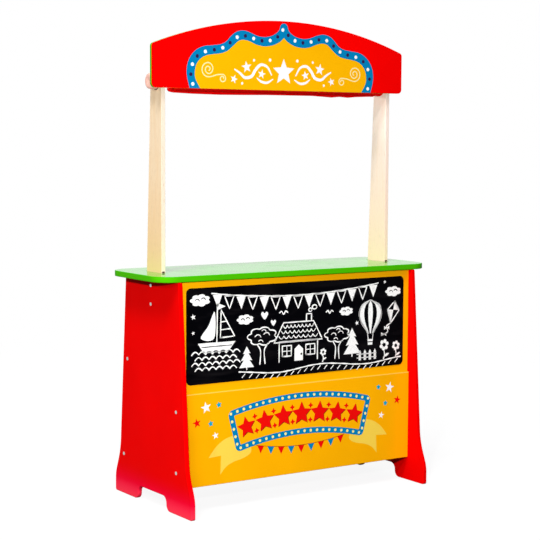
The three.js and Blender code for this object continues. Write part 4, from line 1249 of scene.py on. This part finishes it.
# Curtain and its roller

WINDING_TURNS = 4
WINDING_RADIUS = 23.2 * MM
WINDING_PITCH = 3.45 * MM
SIDE_HEM_WIDTH = 12 * MM
SIDE_SEAM_WIDTH = 1.5 * MM
DROP_THICKNESS = 0.9 * MM
ROLL_EDGE = 1.2 * MM
DROP_EDGE = 0.5 * MM
HEM_EDGE_RADIUS = 1.5 * MM
HEM_RIPPLE = 0.25 * MM
DOWEL_EASE = 0.8 * MM
WOOD_EASE = 1.5 * MM


def places(x, y, z):
    """A grid of points from coordinates that spread over one another."""
    return np.stack(np.broadcast_arrays(x, y, z), axis=-1)


def stations(low, high, count, edge):
    """Places across a sheet, closer together at both rounded ends, and the share of its thickness at each: a
    quarter circle's height over the distance from the nearer end, and 1 past the edge."""
    close = np.array((0.0, 0.12, 0.4, 1.0)) * edge
    across = np.concatenate([
        low.x + close, np.linspace(low.x, high.x, count)[1:-1], high.x - close[::-1]])[:, None]
    reach = np.clip(np.minimum(across - low.x, high.x - across) / edge, 0, 1)
    return across, 0.25 + 0.75 * np.sqrt(1 - (1 - reach) ** 2)


def closed_sheet(front, back):
    """One closed skin from two grids of points, front and back, joined along all four edges."""
    rows, columns = front.shape[:2]
    faces = [grid_faces(rows, 2 * columns, True)]
    index = np.arange(rows * 2 * columns).reshape(rows, 2 * columns)
    for row, order in ((0, slice(None)), (-1, slice(None, None, -1))):
        near, far = index[row, :columns], index[row, columns:][::-1]
        faces.append(np.column_stack([near[:-1], far[:-1], far[1:], near[1:]])[:, order])
    return np.concatenate([front, back[:, ::-1]], axis=1), faces


def curtain_roll():
    """A spiral about the dowel, radius falling evenly with the angle, carried along the stand. Shallow
    creases press it inwards, and a doubled side hem thickens both ends."""
    low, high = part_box("rolled_curtain")
    angle = np.linspace(0, 2 * np.pi * WINDING_TURNS, WINDING_TURNS * 48 + 1)
    across, edged = stations(low, high, 96, ROLL_EDGE)
    share = 1 - angle / angle[-1]
    crease = (np.sin(across * 61 + 0.6 * np.sin(angle * 0.5)) + 0.7 * np.sin(across * 143 + angle * 0.7)
              + 0.5 * np.sin(across * 257 + 1.9 * angle)) / 2.2
    radius = WINDING_RADIUS - WINDING_PITCH * angle / (2 * np.pi) - ROLL_CREASE * share * (1 + crease) / 2
    from_end = np.minimum(across - low.x, high.x - across)
    hemmed = (1 + 0.16 * (from_end < SIDE_HEM_WIDTH)
              - 0.22 * (np.abs(from_end - SIDE_HEM_WIDTH) < SIDE_SEAM_WIDTH))
    half = CLOTH_THICKNESS / 2 * edged * hemmed

    def skin(reach):
        return places(across, roller_place.y + reach * np.cos(angle), roller_place.z + reach * np.sin(angle))

    points, faces = closed_sheet(skin(radius + half), skin(radius - half))
    along = np.concatenate([[0], np.cumsum(angle[1] * radius.mean(axis=0)[1:])])
    uv = np.stack(np.broadcast_arrays(across, np.concatenate([along, along[::-1]])), axis=-1).reshape(-1, 2)
    roll = new_piece("curtain_roll", points, faces, roll_cloth, "red_cloth", body="roller",
                     replaces=["rolled_curtain"], uv=uv)
    return roll, along[-1]


def curtain_drop():
    """A short sheet from the back of the roll to the hem, closer rows where it stretches least, in shallow
    upright folds."""
    low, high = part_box("curtain_drop")
    share = np.linspace(0, 1, 33)
    height = high.z + (low.z - high.z) * (0.5 - np.sin(np.arcsin(1 - 2 * share) / 3))
    across, edged = stations(low, high, 180, DROP_EDGE)
    fold = np.sin(across * 215 + np.sin(across * 37)) * 0.6 + np.sin(across * 90 + 1.1) * 0.4
    centre = (low.y + high.y) / 2
    depth = centre + FOLD_DEPTH * fold * (0.35 + 0.65 * np.sin(np.pi * share))
    half = DROP_THICKNESS / 2 * edged
    points, faces = closed_sheet(places(across, depth - half, height), places(across, depth + half, height))
    drop = new_piece("curtain_free_end", points, faces, hanging_cloth, "red_cloth", body=None,
                     replaces=["curtain_drop"])
    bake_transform(drop)
    return drop


def curtain_hem():
    """A stitched tube round the rod: a rounded section whose lower half follows the waves of the edge."""
    low, high = hem_low, hem_high
    across, share = stations(low, high, 150, HEM_EDGE_RADIUS)
    turn = np.linspace(0, 2 * np.pi, 33)[:-1]
    lift = np.interp(across, *(np.array(HEM_EDGE).T * MM))
    ripple = HEM_RIPPLE * np.sin(across * 190 + 3 * turn)
    squared = np.abs(np.cos(turn)) ** 0.7 * np.sign(np.cos(turn))
    upright = np.abs(np.sin(turn)) ** 0.6 * np.sign(np.sin(turn))
    depth = hem_place.y + squared * (HEM_THICKNESS / 2 - ripple) * share * (1 - 0.45 * np.clip(upright, 0, 1))
    height = hem_place.z + upright * (high.z - low.z) / 2 * (0.5 + share / 2) + lift * (1 - upright) / 2
    rows, columns = depth.shape
    cap = np.arange(columns)[None, :]
    faces = [grid_faces(rows, columns, True), cap[:, ::-1], cap + (rows - 1) * columns]
    return new_piece("curtain_hem_tube", places(across, depth, height), faces, hanging_cloth, "red_cloth",
                     body="hem", replaces=["curtain_hem"])


def quarter(centre_radius, centre_height, radius, start, steps=8):
    """A quarter circle of a profile."""
    return arc((centre_radius, centre_height), radius, start, start + np.pi / 2, steps)


def turned(node, name, towards, material, slot, inner_ease, outer_ease, steps, face):
    """A turned wooden piece on the roller's axis. Its profile (radius, distance) runs from the middle of its
    inner end over two quarter rounds to the points of its face, (radius, depth below the outer end)."""
    low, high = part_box(node)
    radius, length = (high.z - low.z) / 2, high.x - low.x
    profile = np.vstack([
        [(0, 0)], quarter(radius - inner_ease, inner_ease, inner_ease, -np.pi / 2),
        quarter(radius - outer_ease, length - outer_ease, outer_ease, 0, steps),
        np.array(face) * (1, -1) + (0, length)])
    start = (high.x if towards < 0 else low.x, roller_place.y, roller_place.z)
    lathe(name, profile, start, (towards, 0, 0), material, slot, body="roller", replaces=[node])


def roller():
    """Dowel, dished knob and end cap."""
    dish = np.linspace(KNOB_HUB_RADIUS, 0, 12)
    dished = np.column_stack([dish, KNOB_DISH * (0.5 + 0.5 * np.cos(np.pi * dish / KNOB_HUB_RADIUS))])
    low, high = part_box("dowel_end_cap")
    crowned = [((high.z - low.z) / 6, 0.1 * MM), (0, 0)]
    turned("curtain_dowel", "dowel_turned", 1, dowel_wood, "pale_wood", DOWEL_EASE, DOWEL_EASE, 8, [(0, 0)])
    turned("curtain_knob", "knob_turned", -1, pink_wood, "pink_wood", WOOD_EASE, KNOB_EDGE_RADIUS, 12, dished)
    turned("dowel_end_cap", "cap_turned", 1, pink_wood, "pink_wood", WOOD_EASE, CAP_EDGE_RADIUS, 10, crowned)


roller()
roll, roll_length = curtain_roll()
drop = curtain_drop()
hem = curtain_hem()


# Fasteners

HEAD_SHARE = 0.8
HEAD_SIZE = 5 * MM
RECESS_REACH = 2.9 * MM
RECESS_HALF_WIDTH = 0.62 * MM
RECESS_DEPTH = 0.8 * MM
THREAD_DEPTH = 0.22
# Head's height, shank's radius, thread's pitch and tip's length
BOARD_SCREW = (2.4 * MM, 2.0 * MM, 1.6 * MM, 3 * MM)
POST_BOLT = (2.4 * MM, 2.5 * MM, 0.9 * MM, 0)
ANGLE_SCREW = (1.8 * MM, 1.5 * MM, 1.1 * MM, 2 * MM)


def screw(node, direction, head_height, shank_radius, pitch, tip_length):
    """A pan head with a crossed recess over a threaded shank. The profile (radius, height) is carried
    round; the recess is a dip where a point is near either arm, and the thread a saw wave that climbs
    one pitch in each turn."""
    low, high = (np.array(corner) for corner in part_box(node))
    direction = np.array(direction, float)
    axis = int(np.argmax(np.abs(direction)))
    length = high[axis] - low[axis]
    head_radius = np.delete(high - low, axis).max() / 2 * HEAD_SHARE
    top = (low + high) / 2 - direction * length / 2
    rings = np.linspace(1, 0.04, 26)
    side = head_radius * np.ones((2, 1)) * (1, 0) + head_height * np.array(((0, 1), (0, 0.9)))
    crown = np.column_stack([
        head_radius * rings, head_height * (0.86 - 0.5 * np.sqrt(1 - 0.98 * rings**2.6))])
    threads = np.arange(head_height + 0.3 * MM, length - tip_length, pitch / 5)
    shank = np.column_stack([np.full(len(threads), shank_radius), threads])
    tip = np.array((
        (shank_radius, length - tip_length), (shank_radius * (0.25 if tip_length else 0.85), length)))
    profile = np.vstack([crown[::-1], side[::-1], [(shank_radius, head_height)], shank, tip])
    angle = np.linspace(0, 2 * np.pi, 48, endpoint=False)
    radius, height = (np.repeat(part[:, None], len(angle), axis=1) for part in profile.T)
    x, y = np.abs(radius * np.cos(angle)), np.abs(radius * np.sin(angle))
    scale = head_radius / HEAD_SIZE
    arm = np.clip((RECESS_HALF_WIDTH * scale - np.minimum(x, y)) / (0.2 * MM) + 0.5, 0, 1)
    reach = np.clip((RECESS_REACH * scale - np.maximum(x, y)) / (0.5 * MM) + 0.5, 0, 1)
    on_head = np.arange(len(profile)) < len(crown)
    height = height + on_head[:, None] * RECESS_DEPTH * arm * reach
    in_thread = (profile[:, 1:] > head_height + 4 * pitch) & (profile[:, 1:] < length - tip_length)
    climb = (height / pitch - angle / (2 * np.pi)) % 1
    radius = radius - in_thread * shank_radius * THREAD_DEPTH * (1 - np.abs(2 * climb - 1))
    first = np.eye(3)[(axis + 1) % 3]
    turn = circle(angle) @ np.stack([first, np.cross(direction, first)])
    points = top + height[..., None] * direction + radius[..., None] * turn
    start = np.arange(len(angle))[None, ::-1]
    end = start[:, ::-1] + (len(profile) - 1) * len(angle)
    faces = [grid_faces(len(profile), len(angle), True), start, end]
    new_piece(f"{node}_turned", points, faces, screw_steel, "screw_steel", replaces=[node])


for side, outward_side in SIDES.items():
    inward, sideways = (-outward_side, 0, 0), (outward_side, 0, 0)
    for node, direction, sizes in (
            ("lower_board_screw_top", inward, BOARD_SCREW), ("lower_board_screw_bottom", inward, BOARD_SCREW),
            ("lower_shelf_screw", inward, BOARD_SCREW), ("middle_shelf_screw", inward, BOARD_SCREW),
            ("post_bolt_upper", inward, POST_BOLT), ("post_bolt_lower", inward, POST_BOLT),
            ("counter_angle_screw_top", (0, 0, 1), ANGLE_SCREW),
            ("counter_angle_screw_side", sideways, ANGLE_SCREW),
            ("sign_angle_screw_front", (0, -1, 0), ANGLE_SCREW),
            ("sign_angle_screw_side", sideways, ANGLE_SCREW)):
        screw(f"{node}_{side}", direction, *sizes)


# CAD nodes that stay as they are, with their finishes

KEPT_NODES = {
    "post_bolt_upper_nut": screw_steel, "post_bolt_lower_nut": screw_steel,
    "counter_angle": angle_steel, "sign_angle": angle_steel,
    "lower_shelf_pin": dowel_wood, "middle_shelf_pin": dowel_wood,
    "counter_pin_front": post_wood, "counter_pin_rear": post_wood,
}
kept_finishes = {f"{node}_{side}": finish for node, finish in KEPT_NODES.items() for side in SIDES}
for node, finish in (kept_finishes | {"hem_rod": dowel_wood}).items():
    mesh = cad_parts[node].data
    mesh.materials.clear()
    mesh.materials.append(finish)


# Camera, stage and light

WHITE = (1.0, 1.0, 1.0, 1.0)
CAMERA_PLACE = Vector((-1.93708, -2.90627, 0.82720))
# Yaw, pitch from looking straight down, and roll about the line of sight, in degrees
CAMERA_TURNS = ((-33.544, "Z"), (90 - 5.014, "X"), (0.252, "Z"))
FOCAL_PIXELS = 1483.62
IMAGE_PIXELS = 540
SENSOR = 36
SKY_STRENGTH = 0.08
FLOOR_SIZE = 60
FLOOR_BOUNCE = (0.08, 0.08, 0.08, 1.0)
FLOOR_WHITENESS = 0.9
FLOOR_SHADOW_REACH = 0.6
FLOOR_WHITE_REACH = 2.6


def camera():
    """The camera that took the photograph: its place, turn and focal length."""
    bpy.context.scene.view_settings.view_transform = "Standard"
    data = bpy.data.cameras.new("camera")
    data.sensor_width = SENSOR
    data.lens = FOCAL_PIXELS / IMAGE_PIXELS * SENSOR
    data.clip_start, data.clip_end = 0.05, 100
    made = add_object("camera", data)
    yaw, pitch, roll = (Matrix.Rotation(math.radians(degrees), 4, axis) for degrees, axis in CAMERA_TURNS)
    made.matrix_world = Matrix.Translation(CAMERA_PLACE) @ yaw @ pitch @ roll
    bpy.context.scene.camera = made


def seen_directly(paint):
    """1 for camera, glossy and transmission rays, else 0."""
    path = paint.node("ShaderNodeLightPath")
    return (path["Is Camera Ray"] + path["Is Glossy Ray"] + path["Is Transmission Ray"]).at_most(1)


def surroundings():
    """White for what the camera and reflections see, and a plain sky that lights the object."""
    world = bpy.data.worlds.new("studio")
    world.use_nodes = True
    bpy.context.scene.world = world
    sky = Nodes(world.node_tree)
    lighting = sky.node(
        "ShaderNodeBackground", None, {"Color": WHITE, "Strength": SKY_STRENGTH})["Background"]
    seen = sky.node("ShaderNodeBackground", None, {"Color": WHITE, "Strength": 1.0})["Background"]
    mixed = sky.node("ShaderNodeMixShader", None, {0: seen_directly(sky), 1: lighting, 2: seen})["Shader"]
    sky.tree.links.new(mixed.socket, sky.tree.nodes["World Output"].inputs["Surface"])


def floor():
    """A wide pale floor. Seen directly, it turns white with the distance from the stand, past its shadow."""
    half = FLOOR_SIZE / 2
    mesh = bpy.data.meshes.new("floor")
    mesh.from_pydata(
        [(-half, -half, 0), (half, -half, 0), (half, half, 0), (-half, half, 0)], [], [(0, 1, 2, 3)])
    paint = Paint("pale_floor", roughness=0.9, specular_ior_level=0.0)
    paint.feed(base_color=paint.mix(seen_directly(paint), FLOOR_BOUNCE, WHITE))
    away = paint.node("ShaderNodeVectorMath", {"operation": "LENGTH"}, {0: paint.place()})["Value"]
    whiteness = (paint.between(away, FLOOR_SHADOW_REACH, FLOOR_WHITE_REACH) * (1 - FLOOR_WHITENESS)
                 + FLOOR_WHITENESS)
    white = paint.node("ShaderNodeEmission", None, {"Color": WHITE, "Strength": 1.0})["Emission"]
    lit = Socket(paint, paint.shader.outputs["BSDF"])
    share = whiteness * seen_directly(paint)
    mixed = paint.node("ShaderNodeMixShader", None, {0: share, 1: lit, 2: white})["Shader"]
    paint.tree.links.new(mixed.socket, paint.tree.nodes["Material Output"].inputs["Surface"])
    mesh.materials.append(paint.material)
    add_object("floor", mesh)


def lamp(name, kind, towards, strength, place=(0, 0, 0), degrees=None, **settings):
    """A lamp that shines in the direction towards, unseen by the camera; degrees say how wide a sun looks."""
    data = bpy.data.lights.new(name, kind)
    data.energy = strength
    if degrees:
        data.angle = math.radians(degrees)
    for key, value in settings.items():
        setattr(data, key, value)
    made = add_object(name, data)
    made.location = place
    made.rotation_euler = Vector(towards).to_track_quat("-Z", "Y").to_euler()
    made.visible_camera = made.visible_glossy = False


camera()
surroundings()
floor()
lamp("key_light", "AREA", (0.58, 0.81, -0.12), 39.5, (-1.29, -1.72, 0.87), size=0.04)
lamp("side_light", "SUN", (0.9, 0.31, -0.35), 0.57, degrees=1.5)
lamp("front_light", "SUN", (0.1, 0.92, -0.3), 0.12, degrees=8)
lamp("high_light", "SUN", (0.42, 0.3, -0.86), 2.0, degrees=14)
lamp("post_light", "SPOT", (2.262, -1.62, -0.085), 76, (-2, 1.6, 1), spot_size=math.radians(5), spot_blend=1)
lamp("top_light", "SUN", (0.10, 0.25, -0.95), 0.45, degrees=40)
lamp("back_light", "SUN", (-0.2, -0.85, -0.45), 1.5, degrees=60)
